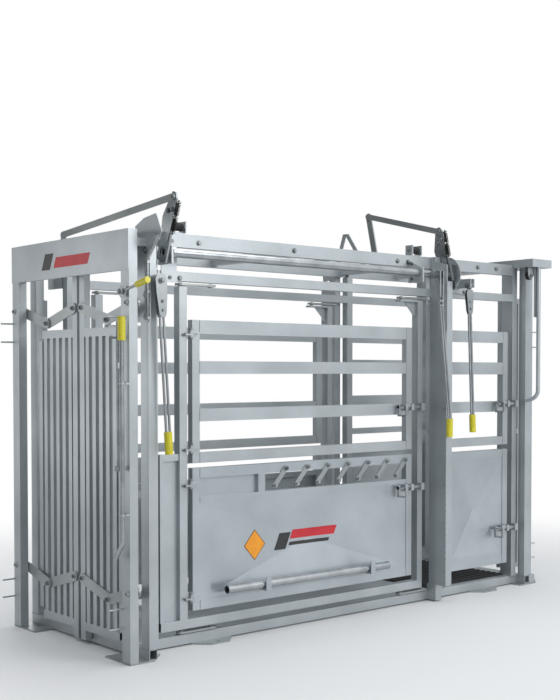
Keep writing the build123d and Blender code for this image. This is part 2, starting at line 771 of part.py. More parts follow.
def latch_guides(gate_edge, side, z):
    """Two guide straps on the gate that hold a slam bolt."""
    pieces = []
    y0 = gate_out
    for x in (gate_edge - 94, gate_edge - 40):
        for low in (z - bolt_h / 2 - 10, z + bolt_h / 2 + 2):
            pieces.append(block((x, x + 24), across(side, y0, y0 + 36), (low, low + 8)))
        pieces.append(block((x, x + 24), across(side, y0 + 30, y0 + 36),
                            (z - bolt_h / 2 - 2, z + bolt_h / 2 + 2)))
    return pieces


def pyramid(x, y_face, side, z, rise):
    """Infill sheet pressed to a shallow four-sided point that faces inwards."""
    plane = Plane((middle(x), y_face, middle(z)), x_dir=(1, 0, 0), z_dir=(0, -side, 0))
    wide, tall = x[1] - x[0], z[1] - z[0]
    tip = 6.0
    with BuildPart() as panel:
        for drop, mode in ((0.0, Mode.ADD), (sheet, Mode.SUBTRACT)):
            with BuildSketch(plane.offset(-drop)):
                Rectangle(wide - 2 * drop, tall - 2 * drop)
            with BuildSketch(plane.offset(rise - drop)):
                Rectangle(tip, tip)
            loft(mode=mode)
    return panel.part


def upper_gate(x, z, side, rails, hinges, latch_z):
    """Barred gate: two stiles, a top bar, a bottom bar and rails between them."""
    y = across(side, gate_out - gate_t, gate_out)
    pieces = [bar((a, a + stile_w), y, z, thin_wall) for a in (x[0], x[1] - stile_w)]
    inside = (x[0] + stile_w, x[1] - stile_w)
    for low, high in [(z[0], z[0] + low_rail_h), (z[1] - top_rail_h, z[1])] + rails:
        pieces.append(bar(inside, y, (low, high), thin_wall))
    pieces += [hinge_eye(x[0], side, h) for h in hinges]
    pieces += latch_guides(x[1], side, latch_z)
    return pieces


def panel_gate(x, z, side, hinges, latch_z, slots=True):
    """Sheeted gate; with slots, an open row under the top bar takes the drop latches."""
    y = across(side, gate_out - gate_t, gate_out)
    pieces = [bar((a, a + stile_w), y, z, thin_wall) for a in (x[0], x[1] - stile_w)]
    inside = (x[0] + stile_w, x[1] - stile_w)
    sheet_top = z[1] - low_rail_h
    pieces.append(bar(inside, y, (z[0], z[0] + low_rail_h), thin_wall))
    pieces.append(bar(inside, y, (sheet_top, z[1]), thin_wall))
    if slots:
        pieces.append(bar(inside, y, (slot_z[0] - 32, slot_z[0]), thin_wall))
        pieces.append(bar((slot_x0 - tube, slot_x0), y, slot_z, thin_wall))
        blank = side * (gate_out - 24)
        pieces.append(block((inside[0], slot_x0 - tube), (blank - 1.5, blank + 1.5), slot_z))
        sheet_top = slot_z[0] - 32
    pieces += [hinge_eye(x[0], side, h) for h in hinges]
    pieces += latch_guides(x[1], side, latch_z)
    return pieces, inside, (z[0] + low_rail_h, sheet_top)


def drop_pivot(index):
    """X of one drop latch's bolt."""
    return slot_x0 + latch_pitch * (index + 0.9)


def drop_latch(index):
    """Flat drop latch that leans on the mid rail, with a foot at its lower end."""
    x = drop_pivot(index)
    lean = math.radians(drop_lean)
    foot = (x - drop_length * math.sin(lean), drop_pivot_z - drop_length * math.cos(lean))
    y = -gate_out - 2
    with BuildPart() as latch:
        add(strap(at_y(y), (x, drop_pivot_z), foot, 30, plate, holes=False))
        add(rod((foot[0], y - plate, foot[1]), (foot[0], y - plate - 16, foot[1]), 10))
        add(rod((x, y + 1, drop_pivot_z), (x, y - plate - 1, drop_pivot_z), pin_r + fit), mode=Mode.SUBTRACT)
    return [latch.part]


def stored_bar():
    """Loose round tube carried in two holders on the lower gate."""
    ends = [(x, stored_y, stored_z) for x in stored_x]
    return [rod(*ends, stored_r, stored_r - wall)]


def bar_holders():
    """Two flat U holders on the lower gate that the loose tube drops into."""
    pieces = []
    for x in holder_x:
        span = (x, x + 36)
        low = stored_z - stored_r - 2
        pieces.append(block(span, (stored_y - 34, -gate_out), (low - 8, low)))
        pieces.append(block(span, (stored_y - 34, stored_y - 28), (low, low + 70)))
        pieces.append(block(span, (-gate_out, -gate_out + 3), (low - 8, low)))
    return pieces


def drop_pins():
    """Shoulder bolts of the drop latches on the lower gate's top bar."""
    pieces = []
    for index in range(latch_count):
        x = drop_pivot(index)
        with BuildPart() as pin:
            add(rod((x, -gate_out, drop_pivot_z), (x, -gate_out - 12, drop_pivot_z), pin_r))
            add(rod((x, -gate_out - 12, drop_pivot_z), (x, -gate_out - 18, drop_pivot_z), 13))
        pieces.append(pin.part)
    return pieces


def squeeze_link(side, x_side):
    """Upper and lower link plates on one pair of upright pivots, fixed end towards +X."""
    pieces = []
    y = side * link_y
    for z in (top_link_z, low_link_z):
        with BuildPart() as link:
            ends = (x_side, y), (x_side + link_length, y)
            add(strap(Plane.XY.offset(z), *ends, link_w, link_t, holes=False))
            for x in (x_side, x_side + link_length):
                add(rod((x, y, z + link_t), (x, y, z + link_t + 4), 13))
                add(rod((x, y, z), (x, y, z - 5), 13))
        pieces.append(link.part)
    return pieces


# ---------------------------------------------------------------- squeeze shaft and rockers

def apex(pivot, lean):
    """Upper end of a rocker that leans from its pivot."""
    angle = math.radians(lean)
    return (pivot[0] + rocker_r * math.sin(angle), pivot[1] + rocker_r * math.cos(angle))


def squeeze_shaft():
    """Long shaft with its front and rear rockers, its disc and the squeeze lever's arm."""
    out = -half_width - 12
    x, z = squeeze_lever_x, shaft_z
    with BuildPart() as shaft:
        add(rod((shaft_x[0], *near_pivot), (shaft_x[1], *near_pivot), shaft_r, shaft_bore))
        for collar in (mid_x - 90, shaft_x[0] + 44):
            add(rod((collar, *near_pivot), (collar + 16, *near_pivot), shaft_r + 7, shaft_r - 2))
        for plane_x, lean in ((front_rocker_x, front_lean), (rear_rocker_x, rear_lean)):
            add(rocker(plane_x, lean))
        add(rod((rear_rocker_x + 10, *near_pivot), (rear_rocker_x + 16, *near_pivot), 112, shaft_r - 2))
        for cheek in (x - 18, x + 10):
            add(block((cheek, cheek + plate), (out - 8, -shaft_y - shaft_r + 4), (z - 30, z + 12)))
            add(block((cheek, cheek + plate), (out - 8, out + 10), (z - 210, z - 30)))
    low = Vector(squeeze_lever_end[0], out, squeeze_lever_end[1] + 115)
    start = Vector(x, out, z - 150)
    pieces = [shaft.part]
    for shift in (Vector(-9.5, 0, -60), Vector(9.5, 0, -60)):
        pieces.append(rod(tuple(start + shift), tuple(low + Vector(shift.X, 0, 4)), lever_rod_r))
    pieces.append(block((low.X - 20, low.X + 20), (out - 10, out + 10), (low.Z, low.Z + 3)))
    pieces.append(block((x - 10, x + 10), (out - 8, out + 8), (z - 208, z - 150)))
    grip = rod(tuple(low), (low.X, out, squeeze_lever_end[1]), grip_r)
    return pieces, [grip]


def rocker(x, lean):
    """Tapered plate that stands on the shaft, with the cross link's hole at its top."""
    top = apex(near_pivot, lean)
    along = Vector(top[0] - near_pivot[0], top[1] - near_pivot[1], 0).normalized()
    aside = Vector(-along.Y, along.X, 0)
    base = Vector(near_pivot[0], near_pivot[1], 0)
    tip = Vector(top[0], top[1], 0)
    waist = base + along * (rocker_r * 0.6)
    corners = [base - along * 48 + aside * 44, base + along * 60 + aside * 44, waist + aside * 36,
               tip + aside * 30, tip + along * 26 + aside * 12, tip + along * 26 - aside * 16,
               tip - aside * 30 - along * 10, waist - aside * 62, base + along * 60 - aside * 44,
               base - along * 48 - aside * 44]
    with BuildPart() as piece:
        with BuildSketch(at_x(x)):
            with BuildLine():
                Polyline(*[(c.X, c.Y) for c in corners], close=True)
            make_face()
            with Locations(top):
                Circle(pin_r + fit, mode=Mode.SUBTRACT)
            with Locations(near_pivot):
                Circle(shaft_r - 1, mode=Mode.SUBTRACT)
        extrude(amount=10)
    return piece.part


def cross_link(x, lean, far_pivot):
    """Bar across the roof from the near rocker to the far rocker, with its pins."""
    near = apex(near_pivot, lean)
    far = apex(far_pivot, lean)
    with BuildPart() as link:
        add(strap(at_x(x), near, far, 36, plate, holes=False))
        for y, z in (near, far):
            add(rod((x, y, z), (x + plate + 14, y, z), pin_r))
    return [link.part]


def far_rockers(x, lean, far_pivot):
    """Rocker on the far side that follows the cross link."""
    return [strap(at_x(x), far_pivot, apex(far_pivot, lean), 46, 10)]


def rocker_mounts():
    """Brackets and pins of the far rockers, shaft bearings and rubber buffers' brackets."""
    pieces = []
    y, z = front_far_pivot
    x = front_rocker_x
    pieces.append(block((x - 30, x - 12), (side_out, y + 30), (z - 40, z + 40)))
    pieces.append(rod((x - 12, y, z), (x + 12, y, z), pin_r))
    y, z = rear_far_pivot
    x = rear_rocker_x
    pieces.append(block((mid_x + tube - 10, mid_x + tube), (y - 35, y + 35), (roof_low + 61, z + 30)))
    pieces.append(rod((mid_x + tube, y, z), (x + 12, y, z), pin_r))
    for x in (shaft_x[0] + 20, mid_x - 200):
        pieces.append(flat(at_x(x), [(-side_out, shaft_z - 60), (-shaft_y - 40, shaft_z - 60),
                                     (-shaft_y - 40, shaft_z + 30), (-side_out, shaft_z + 80)], 12,
                           [near_pivot], shaft_r + 0.5))
    return pieces


# ---------------------------------------------------------------- tailgate

def leaf_line(side, which):
    """Hinge line and far line of one tail leaf at rest, in plan: 0 is the outer leaf."""
    angle = math.radians(leaf_open)
    start = Vector(leaf_hinge_x, side * leaf_hinge_y, 0)
    knee_point = start + Vector(leaf_length * math.sin(angle), -side * leaf_length * math.cos(angle), 0)
    end = start + Vector(0, -side * 2 * leaf_length * math.cos(angle), 0)
    return ((start, knee_point), (knee_point, end))[which]


def tail_leaf(side, which):
    """One leaf of a folding tail door, beside its hinge line so that the two leaves fold flat."""
    start, end = leaf_line(side, which)
    plane = Plane(tuple(start), x_dir=tuple((end - start).normalized()), z_dir=(0, 0, 1))
    inner = which == 1
    off = side * (leaf_t / 2 + 1)
    stile = 34.0
    first, last = 22.0, leaf_length - 22.0 + (26.0 if inner else 0.0)
    inside = (first + stile, last - stile)
    pieces = []
    for low in (first, last - stile):
        pieces.append(leaf_bar(plane, (low, low + stile), off, leaf_z, True))
    for low in (leaf_z[0], middle(leaf_z), leaf_z[1] - stile):
        pieces.append(leaf_bar(plane, inside, off, (low, low + stile), False))
    for low in (leaf_z[0] + 60, leaf_z[1] - 100):
        pieces.append(leaf_eye(plane, first, last, off, low, inner))
    if not inner:
        for low in (leaf_z[0] - 8, leaf_z[1]):
            with BuildPart() as pivot:
                with BuildSketch(plane.offset(low)):
                    Circle(11)
                    with Locations((first / 2 + 4, off / 2)):
                        Rectangle(first + 8, leaf_t / 2 + 6)
                extrude(amount=8)
            pieces.append(pivot.part)
    return pieces


def leaf_bar(plane, along, off, z, hollow):
    """Upright or cross bar of a leaf, in the leaf's own plan frame."""
    with BuildPart() as piece:
        with BuildSketch(plane.offset(z[0])):
            with Locations((middle(along), off)):
                Rectangle(along[1] - along[0], leaf_t)
                if hollow:
                    Rectangle(along[1] - along[0] - 2 * thin_wall, leaf_t - 2 * thin_wall, mode=Mode.SUBTRACT)
        extrude(amount=z[1] - z[0])
    return piece.part


def leaf_eye(plane, first, last, off, low, inner):
    """Eye at the knee: the outer leaf's carries the pin and the inner leaf's turns on it."""
    centre = 0.0 if inner else leaf_length
    reach = (0.0, first) if inner else (last, leaf_length)
    with BuildPart() as eye:
        with BuildSketch(plane.offset(low + 16 if inner else low)):
            with Locations((centre, 0)):
                Circle(13)
            with Locations((middle(reach), off / 2)):
                Rectangle(reach[1] - reach[0], abs(off) - 4)
            if inner:
                with Locations((centre, 0)):
                    Circle(pin_r + fit, mode=Mode.SUBTRACT)
        extrude(amount=14)
        if not inner:
            with BuildSketch(plane.offset(low + 14)):
                with Locations((centre, 0)):
                    Circle(pin_r)
            extrude(amount=20)
    return eye.part


def main():
    os.makedirs("parts", exist_ok=True)
    save("base_frame", base_frame())
    save("rubber_mat", rubber_mat())
    save("anchor_plates", anchor_plates())
    save("headgate_frame", headgate_frame())
    save("roof_beams", roof_beams())
    save("mid_frame", mid_frame())
    save("rear_frame", rear_frame())
    save("fittings", front_fittings() + frame_pins() + lever_pins() + rocker_mounts())
    sides = {"near": NEAR, "far": FAR}
    for name, side in sides.items():
        save(f"headgate_door_{name}", headgate_door(side))
        for level, z in zip(("low", "high"), arm_pivot_z):
            save(f"arm_outer_{name}_{level}", outer_arm(side, z))
            save(f"arm_inner_{name}_{level}", inner_arm(side, z))
    for name, (lever, grip) in {
            "headgate_lever": hand_lever(head_lever_pivot, head_lever_end, head_lever_y),
            "tailgate_lever": hand_lever(tail_lever_pivot, tail_lever_end, tail_lever_y, outwards=True),
            "release_lever": release_lever(),
            "lift_rods": lift_rods(),
            "squeeze_shaft": squeeze_shaft()}.items():
        save(name, lever)
        save(f"{name}_grip", grip)
    for name, side in sides.items():
        save(f"side_frame_{name}", side_frame(side))
        save(f"squeeze_link_front_{name}", squeeze_link(side, front_link_x))
        save(f"squeeze_link_rear_{name}", squeeze_link(side, rear_link_x))
        x = (gate_x0, gate_x1)
        save(f"upper_gate_{name}",
             upper_gate(x, upper_gate_z, side, upper_rails, hinge_heights[2:], latch_upper_z))
        pieces, inside, panel_z = panel_gate(x, lower_gate_z, side, hinge_heights[:2], latch_lower_z)
        if side == NEAR:
            pieces += drop_pins() + bar_holders()
        pieces.append(pyramid(inside, side * (gate_out - 4), side, panel_z, press_rise))
        save(f"lower_gate_{name}", pieces)
    for index in range(latch_count):
        save(f"drop_latch_{index + 1}", drop_latch(index))
    save("stored_bar", stored_bar())
    save("rear_gate_upper", upper_gate(rear_gate_x, rear_upper_z, NEAR, rear_rails, rear_hinge_heights[2:],
                                       rear_latch_upper_z))
    pieces, inside, panel_z = panel_gate(rear_gate_x, rear_lower_z, NEAR, rear_hinge_heights[:2],
                                         rear_latch_lower_z, slots=False)
    pieces.append(pyramid(inside, NEAR * (gate_out - 4), NEAR, panel_z, press_rise))
    save("rear_gate_lower", pieces)
    save("slam_latch_upper", slam_latch(gate_x1, NEAR, latch_upper_z, bolt_reach))
    save("slam_latch_lower", slam_latch(gate_x1, NEAR, latch_lower_z, bolt_reach))
    save("slam_latch_rear_upper", slam_latch(rear_gate_x[1], NEAR, rear_latch_upper_z, rear_bolt_reach))
    save("slam_latch_rear_lower", slam_latch(rear_gate_x[1], NEAR, rear_latch_lower_z, rear_bolt_reach))
    save("cross_link_front", cross_link(front_rocker_x - plate - 1, front_lean, front_far_pivot))
    save("cross_link_rear", cross_link(rear_rocker_x - plate - 1, rear_lean, rear_far_pivot))
    save("far_rocker_front", far_rockers(front_rocker_x, front_lean, front_far_pivot))
    save("far_rocker_rear", far_rockers(rear_rocker_x, rear_lean, rear_far_pivot))
    for name, side in sides.items():
        save(f"tail_leaf_outer_{name}", tail_leaf(side, 0))
        save(f"tail_leaf_inner_{name}", tail_leaf(side, 1))


main()
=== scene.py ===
"""Cattle squeeze chute: finishes, fasteners, springs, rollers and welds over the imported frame.

Metres, +Z up. The headgate is towards -X and the operator's side, called near, towards -Y."""
import json
import math

import bmesh
import bpy
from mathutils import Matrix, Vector

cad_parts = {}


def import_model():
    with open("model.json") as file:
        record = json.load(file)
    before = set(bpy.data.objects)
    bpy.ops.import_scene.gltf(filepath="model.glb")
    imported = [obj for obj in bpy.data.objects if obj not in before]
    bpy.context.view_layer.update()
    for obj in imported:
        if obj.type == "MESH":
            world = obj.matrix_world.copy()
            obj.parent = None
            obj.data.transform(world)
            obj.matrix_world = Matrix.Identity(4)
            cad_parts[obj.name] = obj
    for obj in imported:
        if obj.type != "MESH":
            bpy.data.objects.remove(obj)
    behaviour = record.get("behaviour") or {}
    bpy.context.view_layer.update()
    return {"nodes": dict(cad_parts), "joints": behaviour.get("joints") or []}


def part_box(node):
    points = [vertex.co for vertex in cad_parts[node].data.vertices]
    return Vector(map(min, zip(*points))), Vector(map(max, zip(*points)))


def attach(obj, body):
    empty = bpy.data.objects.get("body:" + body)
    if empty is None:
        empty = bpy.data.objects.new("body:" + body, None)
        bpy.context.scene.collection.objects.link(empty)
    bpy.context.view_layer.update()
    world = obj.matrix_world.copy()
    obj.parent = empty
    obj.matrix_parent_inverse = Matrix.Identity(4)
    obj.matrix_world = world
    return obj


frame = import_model()
nodes = frame["nodes"]
NEAR = -1
FAR = 1
MM = 0.001
GRAIN_SHARE = 0.55           # how much of a coat's grain is added to its tint


# ---------------------------------------------------------------- materials

def linear(code):
    """An sRGB hex colour as linear RGBA."""
    channels = [int(code[i:i + 2], 16) / 255 for i in (1, 3, 5)]
    return [c / 12.92 if c <= 0.04045 else ((c + 0.055) / 1.055) ** 2.4 for c in channels] + [1.0]


def put(tree, kind, settings=None, **inputs):
    """Adds a node. Settings are its properties, or a colour ramp's (place, hex) stops. Inputs are
    values, or sockets that feed it, by name or by number."""
    made = tree.nodes.new(kind)
    for name, value in (settings or {}).items():
        if name != "stops":
            setattr(made, name, value)
            continue
        band = made.color_ramp.elements
        for element, (place, code) in ((band[0], value[0]), (band[1], value[-1])):
            element.position, element.color = place, linear(code)
        for place, code in value[1:-1]:
            band.new(place).color = linear(code)
    for name, value in inputs.items():
        key = int(name[1:]) if name[0] == "_" and name[1:].isdigit() else name.replace("_", " ")
        socket = made.inputs[key]
        if isinstance(value, bpy.types.NodeSocket):
            tree.links.new(value, socket)
        else:
            socket.default_value = value
    return made


def empty_material(name):
    made = bpy.data.materials.new(name)
    made.use_nodes = True
    made.node_tree.nodes.clear()
    return made, made.node_tree


def finish(name, metallic, stops, rough, noises, relief=None, **gloss):
    """Whole material: blotchy colour, a roughness between two ends and a fine relief.

    noises are (blotch size in mm, detail, roughness) by use. The tint picks the colour, with the
    grain added to it. The wear, or else the tint, picks the roughness. The relief noise, or else the
    grain, is the height, and relief gives its depth in mm and its strength. gloss is the shader's own
    sockets; a metal has none, and so keeps the default IOR."""
    made, tree = empty_material(name)
    place = put(tree, "ShaderNodeTexCoord").outputs["Object"]
    levels = {}
    for use, (size_mm, detail, roughness) in noises.items():
        levels[use] = put(tree, "ShaderNodeTexNoise", Vector=place, Scale=1 / (size_mm * MM), Detail=detail,
                          Roughness=roughness).outputs["Fac"]
    tint = levels["tint"]
    if "grain" in levels:
        tint = put(tree, "ShaderNodeMath", {"operation": "MULTIPLY_ADD"}, _0=levels["grain"],
                   _1=GRAIN_SHARE, _2=tint).outputs[0]
    colour = put(tree, "ShaderNodeValToRGB", {"stops": stops}, Fac=tint).outputs["Color"]
    dull = put(tree, "ShaderNodeMapRange", Value=levels.get("wear", levels["tint"]), To_Min=rough[0],
               To_Max=rough[1]).outputs["Result"]
    if relief:
        gloss["Normal"] = put(tree, "ShaderNodeBump", Height=levels.get("relief", levels.get("grain")),
                              Distance=relief[0] * MM, Strength=relief[1]).outputs["Normal"]
    shader = put(tree, "ShaderNodeBsdfPrincipled", Metallic=metallic, Base_Color=colour, Roughness=dull,
                 **gloss)
    put(tree, "ShaderNodeOutputMaterial", Surface=shader.outputs[0])
    return made


def coated_steel(name, light, mid, dark, metallic, rough):
    """Silver-grey coated mild steel. The coat is satin, so the eye sees an even soft grey with a
    slow cloudiness, a sandy metallic grain, and dull rub marks in the highlights. The flake in the
    coat is under 0.5 mm; it is drawn at 6 mm so that it shows as a grain."""
    return finish(name, metallic, [(0.55, dark), (0.78, mid), (1.0, light)], (rough - 0.04, rough + 0.05),
                  {"tint": (320, 3, 0.5), "grain": (6, 3, 0.7), "wear": (45, 5, 0.65)}, (0.12, 0.1))


def bright_zinc(name, light, dark, rough):
    """Zinc-plated steel bar and fasteners: brighter and cooler than the coat, with the dull
    patches that plating gets from handling."""
    return finish(name, 0.9, [(0.35, dark), (0.65, light)], (rough, rough + 0.06),
                  {"tint": (110, 3, 0.5), "relief": (4, 2, 0.5)}, (0.03, 0.08))


def sticker(name, code):
    """Printed vinyl film: flat colour under a thin satin layer, slightly faded in patches."""
    faded = "#" + "".join(f"{min(255, int(code[i:i + 2], 16) + 14):02x}" for i in (1, 3, 5))
    return finish(name, 0.0, [(0.4, code), (0.8, faded)], (0.42, 0.56), {"tint": (60, 4, 0.5)}, IOR=1.46,
                  Coat_Weight=0.3, Coat_Roughness=0.25)


STEEL = coated_steel("silver coat on steel tube", "#b6bcbf", "#adb3b6", "#a3a9ac", 0.72, 0.40)
SHEET = coated_steel("silver coat on steel sheet", "#b8bfc3", "#b0b7bb", "#a7aeb2", 0.78, 0.33)
LINKAGE = coated_steel("silver coat on laser-cut plate", "#aaaeae", "#9da2a3", "#8f9496", 0.76, 0.36)
ZINC = bright_zinc("bright zinc on bar", "#b2b6b8", "#9ba0a3", 0.22)
BOLT = bright_zinc("bright zinc on bolts", "#989c9e", "#686c6e", 0.3)
# Dipped yellow PVC: saturated, a little glossy, with drip waviness and grime in the hollows
GRIP = finish("dipped yellow vinyl", 0.0, [(0.25, "#a39b18"), (0.45, "#c2b81f"), (0.8, "#cfc52c")],
              (0.5, 0.36), {"tint": (18, 4, 0.6), "relief": (7, 2, 0.5)}, (0.4, 0.25), IOR=1.53,
              Coat_Weight=0.15, Coat_Roughness=0.3)
# Vulcanised rubber: near black, matt, dusted grey on the high spots
RUBBER = finish("vulcanised rubber", 0.0, [(0.4, "#161718"), (0.75, "#2b2d2e")], (0.72, 0.9),
                {"tint": (40, 5, 0.65), "relief": (2.5, 2, 0.5)}, (0.2, 0.4), IOR=1.52)
# Oil-black spring wire: dark, semi-gloss, slightly brown where the oxide is thin
SPRING = finish("oil-blacked spring steel", 0.8, [(0.3, "#17181a"), (0.75, "#3a3835")], (0.32, 0.5),
                {"tint": (9, 3, 0.5)})
# Coated weld bead: the coat thins over the ripples, so it is a little darker and shinier
WELD = finish("coated weld bead", 0.7, [(0.3, "#7f8689"), (0.7, "#a3aaad")], (0.35, 0.55),
              {"tint": (4, 2, 0.5)})

LINK_NODES = ("arm_", "squeeze_link", "cross_link", "far_rocker", "release_lever", "drop_latch",
              "anchor_plates")
BAR_NODES = ("stored_bar", "slam_latch", "lift_rods", "headgate_lever", "tailgate_lever",
             "squeeze_shaft")
PANEL_NODES = ("lower_gate", "rear_gate_lower")


def cad_finish(name):
    """The finish of a CAD node."""
    if name.endswith("_grip"):
        return GRIP
    if name == "rubber_mat":
        return RUBBER
    for starts, coat in ((LINK_NODES, LINKAGE), (BAR_NODES, ZINC), (PANEL_NODES, SHEET)):
        if name.startswith(starts):
            return coat
    return STEEL


for name, node in nodes.items():
    for slot in node.material_slots:
        slot.material = cad_finish(name)


# ---------------------------------------------------------------- places on the frame

joints = {joint["name"]: joint for joint in frame["joints"]}


def pivot(name):
    """Centre of a joint at rest, in metres."""
    return Vector(joints[name]["pos_m"])


def low(node):
    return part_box(node)[0]


def high(node):
    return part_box(node)[1]


POST_FRONT = -1.800          # front of the headgate posts
NEAR_OUT = -0.613            # outside of the near headgate post
CROWN_FRONT = -1.690         # front of the crown plate
TUBE_OUT = 0.448             # centre plane to the outside of the body tubes
GATE_FACES = (0.4435, 0.4025)    # centre plane to both faces of the gates, and a hair more
SHAFT = Vector((0, -0.53, 2.105))
LEVER_Y = -0.558             # plane of the tailgate lever
GATE_MID = 0.423             # centre plane to the middle of gates and side frames
STILE_WIDTH = 0.043          # open end of a gate's or side frame's tube
CAP = 0.003                  # thickness of an end cap


# ---------------------------------------------------------------- geometry-node tools

def tool(name, sizes):
    """Empty Geometry Nodes tree with a mesh input, a material and named sizes."""
    tree = bpy.data.node_groups.new(name, "GeometryNodeTree")
    face = tree.interface
    face.new_socket("Geometry", in_out="INPUT", socket_type="NodeSocketGeometry")
    for label, value in sizes.items():
        face.new_socket(label, in_out="INPUT", socket_type="NodeSocketFloat").default_value = value
    face.new_socket("Material", in_out="INPUT", socket_type="NodeSocketMaterial")
    face.new_socket("Geometry", in_out="OUTPUT", socket_type="NodeSocketGeometry")
    return tree, put(tree, "NodeGroupInput").outputs


def close(tree, shape, material):
    """Ends a tree with real faces in one material."""
    real = put(tree, "GeometryNodeRealizeInstances", Geometry=shape)
    painted = put(tree, "GeometryNodeSetMaterial", Geometry=real.outputs[0], Material=material)
    put(tree, "NodeGroupOutput", _0=painted.outputs[0])


def aimed(tree, points, shape, scale):
    """A shape on every point, its Z along the point's axis attribute."""
    axis = put(tree, "GeometryNodeInputNamedAttribute", {"data_type": "FLOAT_VECTOR"}, Name="axis")
    turn = put(tree, "FunctionNodeAlignRotationToVector", {"axis": "Z"}, Vector=axis.outputs[0])
    placed = put(tree, "GeometryNodeInstanceOnPoints", Points=points, Instance=shape,
                 Rotation=turn.outputs[0], Scale=scale)
    return placed.outputs[0]


def bolt_tool():
    """Hex head with a turned chamfer on a round washer, sized by each point's radius."""
    tree, given = tool("hex bolts", {"Head Height": 0.62, "Washer Height": 0.18, "Washer Radius": 1.35})
    head = put(tree, "GeometryNodeMeshCylinder", Vertices=6, Radius=1.0, Depth=given["Head Height"])
    crown = put(tree, "GeometryNodeMeshCone", Vertices=6, Radius_Top=0.78, Radius_Bottom=1.0, Depth=0.12)
    washer = put(tree, "GeometryNodeMeshCylinder", Vertices=20, Radius=given["Washer Radius"],
                 Depth=given["Washer Height"])
    half = put(tree, "ShaderNodeMath", {"operation": "MULTIPLY"}, _0=given["Head Height"], _1=0.5)
    whole = put(tree, "GeometryNodeJoinGeometry")
    for shape, how, first, second in (
            (washer, "MULTIPLY", given["Washer Height"], 0.5),
            (head, "ADD", half.outputs[0], given["Washer Height"]),
            (crown, "ADD", given["Head Height"], given["Washer Height"])):
        height = put(tree, "ShaderNodeMath", {"operation": how}, _0=first, _1=second)
        up = put(tree, "ShaderNodeCombineXYZ", Z=height.outputs[0])
        lifted = put(tree, "GeometryNodeTransform", Geometry=shape.outputs[0], Translation=up.outputs[0])
        tree.links.new(lifted.outputs[0], whole.inputs[0])
    radius = put(tree, "GeometryNodeInputNamedAttribute", {"data_type": "FLOAT"}, Name="radius")
    close(tree, aimed(tree, given["Geometry"], whole.outputs[0], radius.outputs[0]), given["Material"])
    return tree


def coil_tool():
    """Coil spring of closed wire on every point."""
    tree, given = tool("coil springs", {"Length": 0.06, "Coil Radius": 0.012, "Wire Radius": 0.002,
                                        "Turns": 8.0})
    line = put(tree, "GeometryNodeCurveSpiral", Resolution=14, Rotations=given["Turns"],
               Start_Radius=given["Coil Radius"], End_Radius=given["Coil Radius"], Height=given["Length"])
    ring = put(tree, "GeometryNodeCurvePrimitiveCircle", Resolution=7, Radius=given["Wire Radius"])
    wire = put(tree, "GeometryNodeCurveToMesh", Curve=line.outputs[0], Profile_Curve=ring.outputs[0],
               Fill_Caps=True)
    close(tree, aimed(tree, given["Geometry"], wire.outputs[0], (1, 1, 1)), given["Material"])
    return tree


def bead_tool():
    """Rippled weld bead along every edge, as overlapping drops a pitch apart."""
    tree, given = tool("weld beads", {"Pitch": 0.006, "Drop Length": 0.0045, "Drop Radius": 0.003})
    line = put(tree, "GeometryNodeMeshToCurve", Mesh=given["Geometry"])
    steps = put(tree, "GeometryNodeResampleCurve", {"mode": "LENGTH"}, Curve=line.outputs[0],
                Length=given["Pitch"])
    drop = put(tree, "GeometryNodeMeshIcoSphere", Radius=1.0, Subdivisions=1)
    way = put(tree, "GeometryNodeInputTangent")
    turn = put(tree, "FunctionNodeAlignRotationToVector", {"axis": "Z"}, Vector=way.outputs[0])
    size = put(tree, "ShaderNodeCombineXYZ", X=given["Drop Radius"], Y=given["Drop Radius"],
               Z=given["Drop Length"])
    placed = put(tree, "GeometryNodeInstanceOnPoints", Points=steps.outputs[0], Instance=drop.outputs[0],
                 Rotation=turn.outputs[0], Scale=size.outputs[0])
    close(tree, placed.outputs[0], given["Material"])
    return tree


def cap_tool():
    """Pressed end cap on every point: a thin plate with a lower rim, sized by the span attribute."""
    tree, given = tool("tube end caps", {"Crown": 0.86})
    plate = put(tree, "GeometryNodeMeshCube", Size=(1, 1, 1))
    raised = put(tree, "GeometryNodeMeshCube", Size=(1, 1, 1))
    shrink = put(tree, "ShaderNodeCombineXYZ", X=given["Crown"], Y=given["Crown"], Z=1.0)
    smaller = put(tree, "GeometryNodeTransform", Geometry=raised.outputs[0], Translation=(0, 0, 0.4),
                  Scale=shrink.outputs[0])
    whole = put(tree, "GeometryNodeJoinGeometry")
    tree.links.new(plate.outputs[0], whole.inputs[0])
    tree.links.new(smaller.outputs[0], whole.inputs[0])
    span = put(tree, "GeometryNodeInputNamedAttribute", {"data_type": "FLOAT_VECTOR"}, Name="span")
    placed = put(tree, "GeometryNodeInstanceOnPoints", Points=given["Geometry"], Instance=whole.outputs[0],
                 Scale=span.outputs[0])
    close(tree, placed.outputs[0], given["Material"])
    return tree


BOLTS = bolt_tool()
COILS = coil_tool()
BEADS = bead_tool()
CAPS = cap_tool()


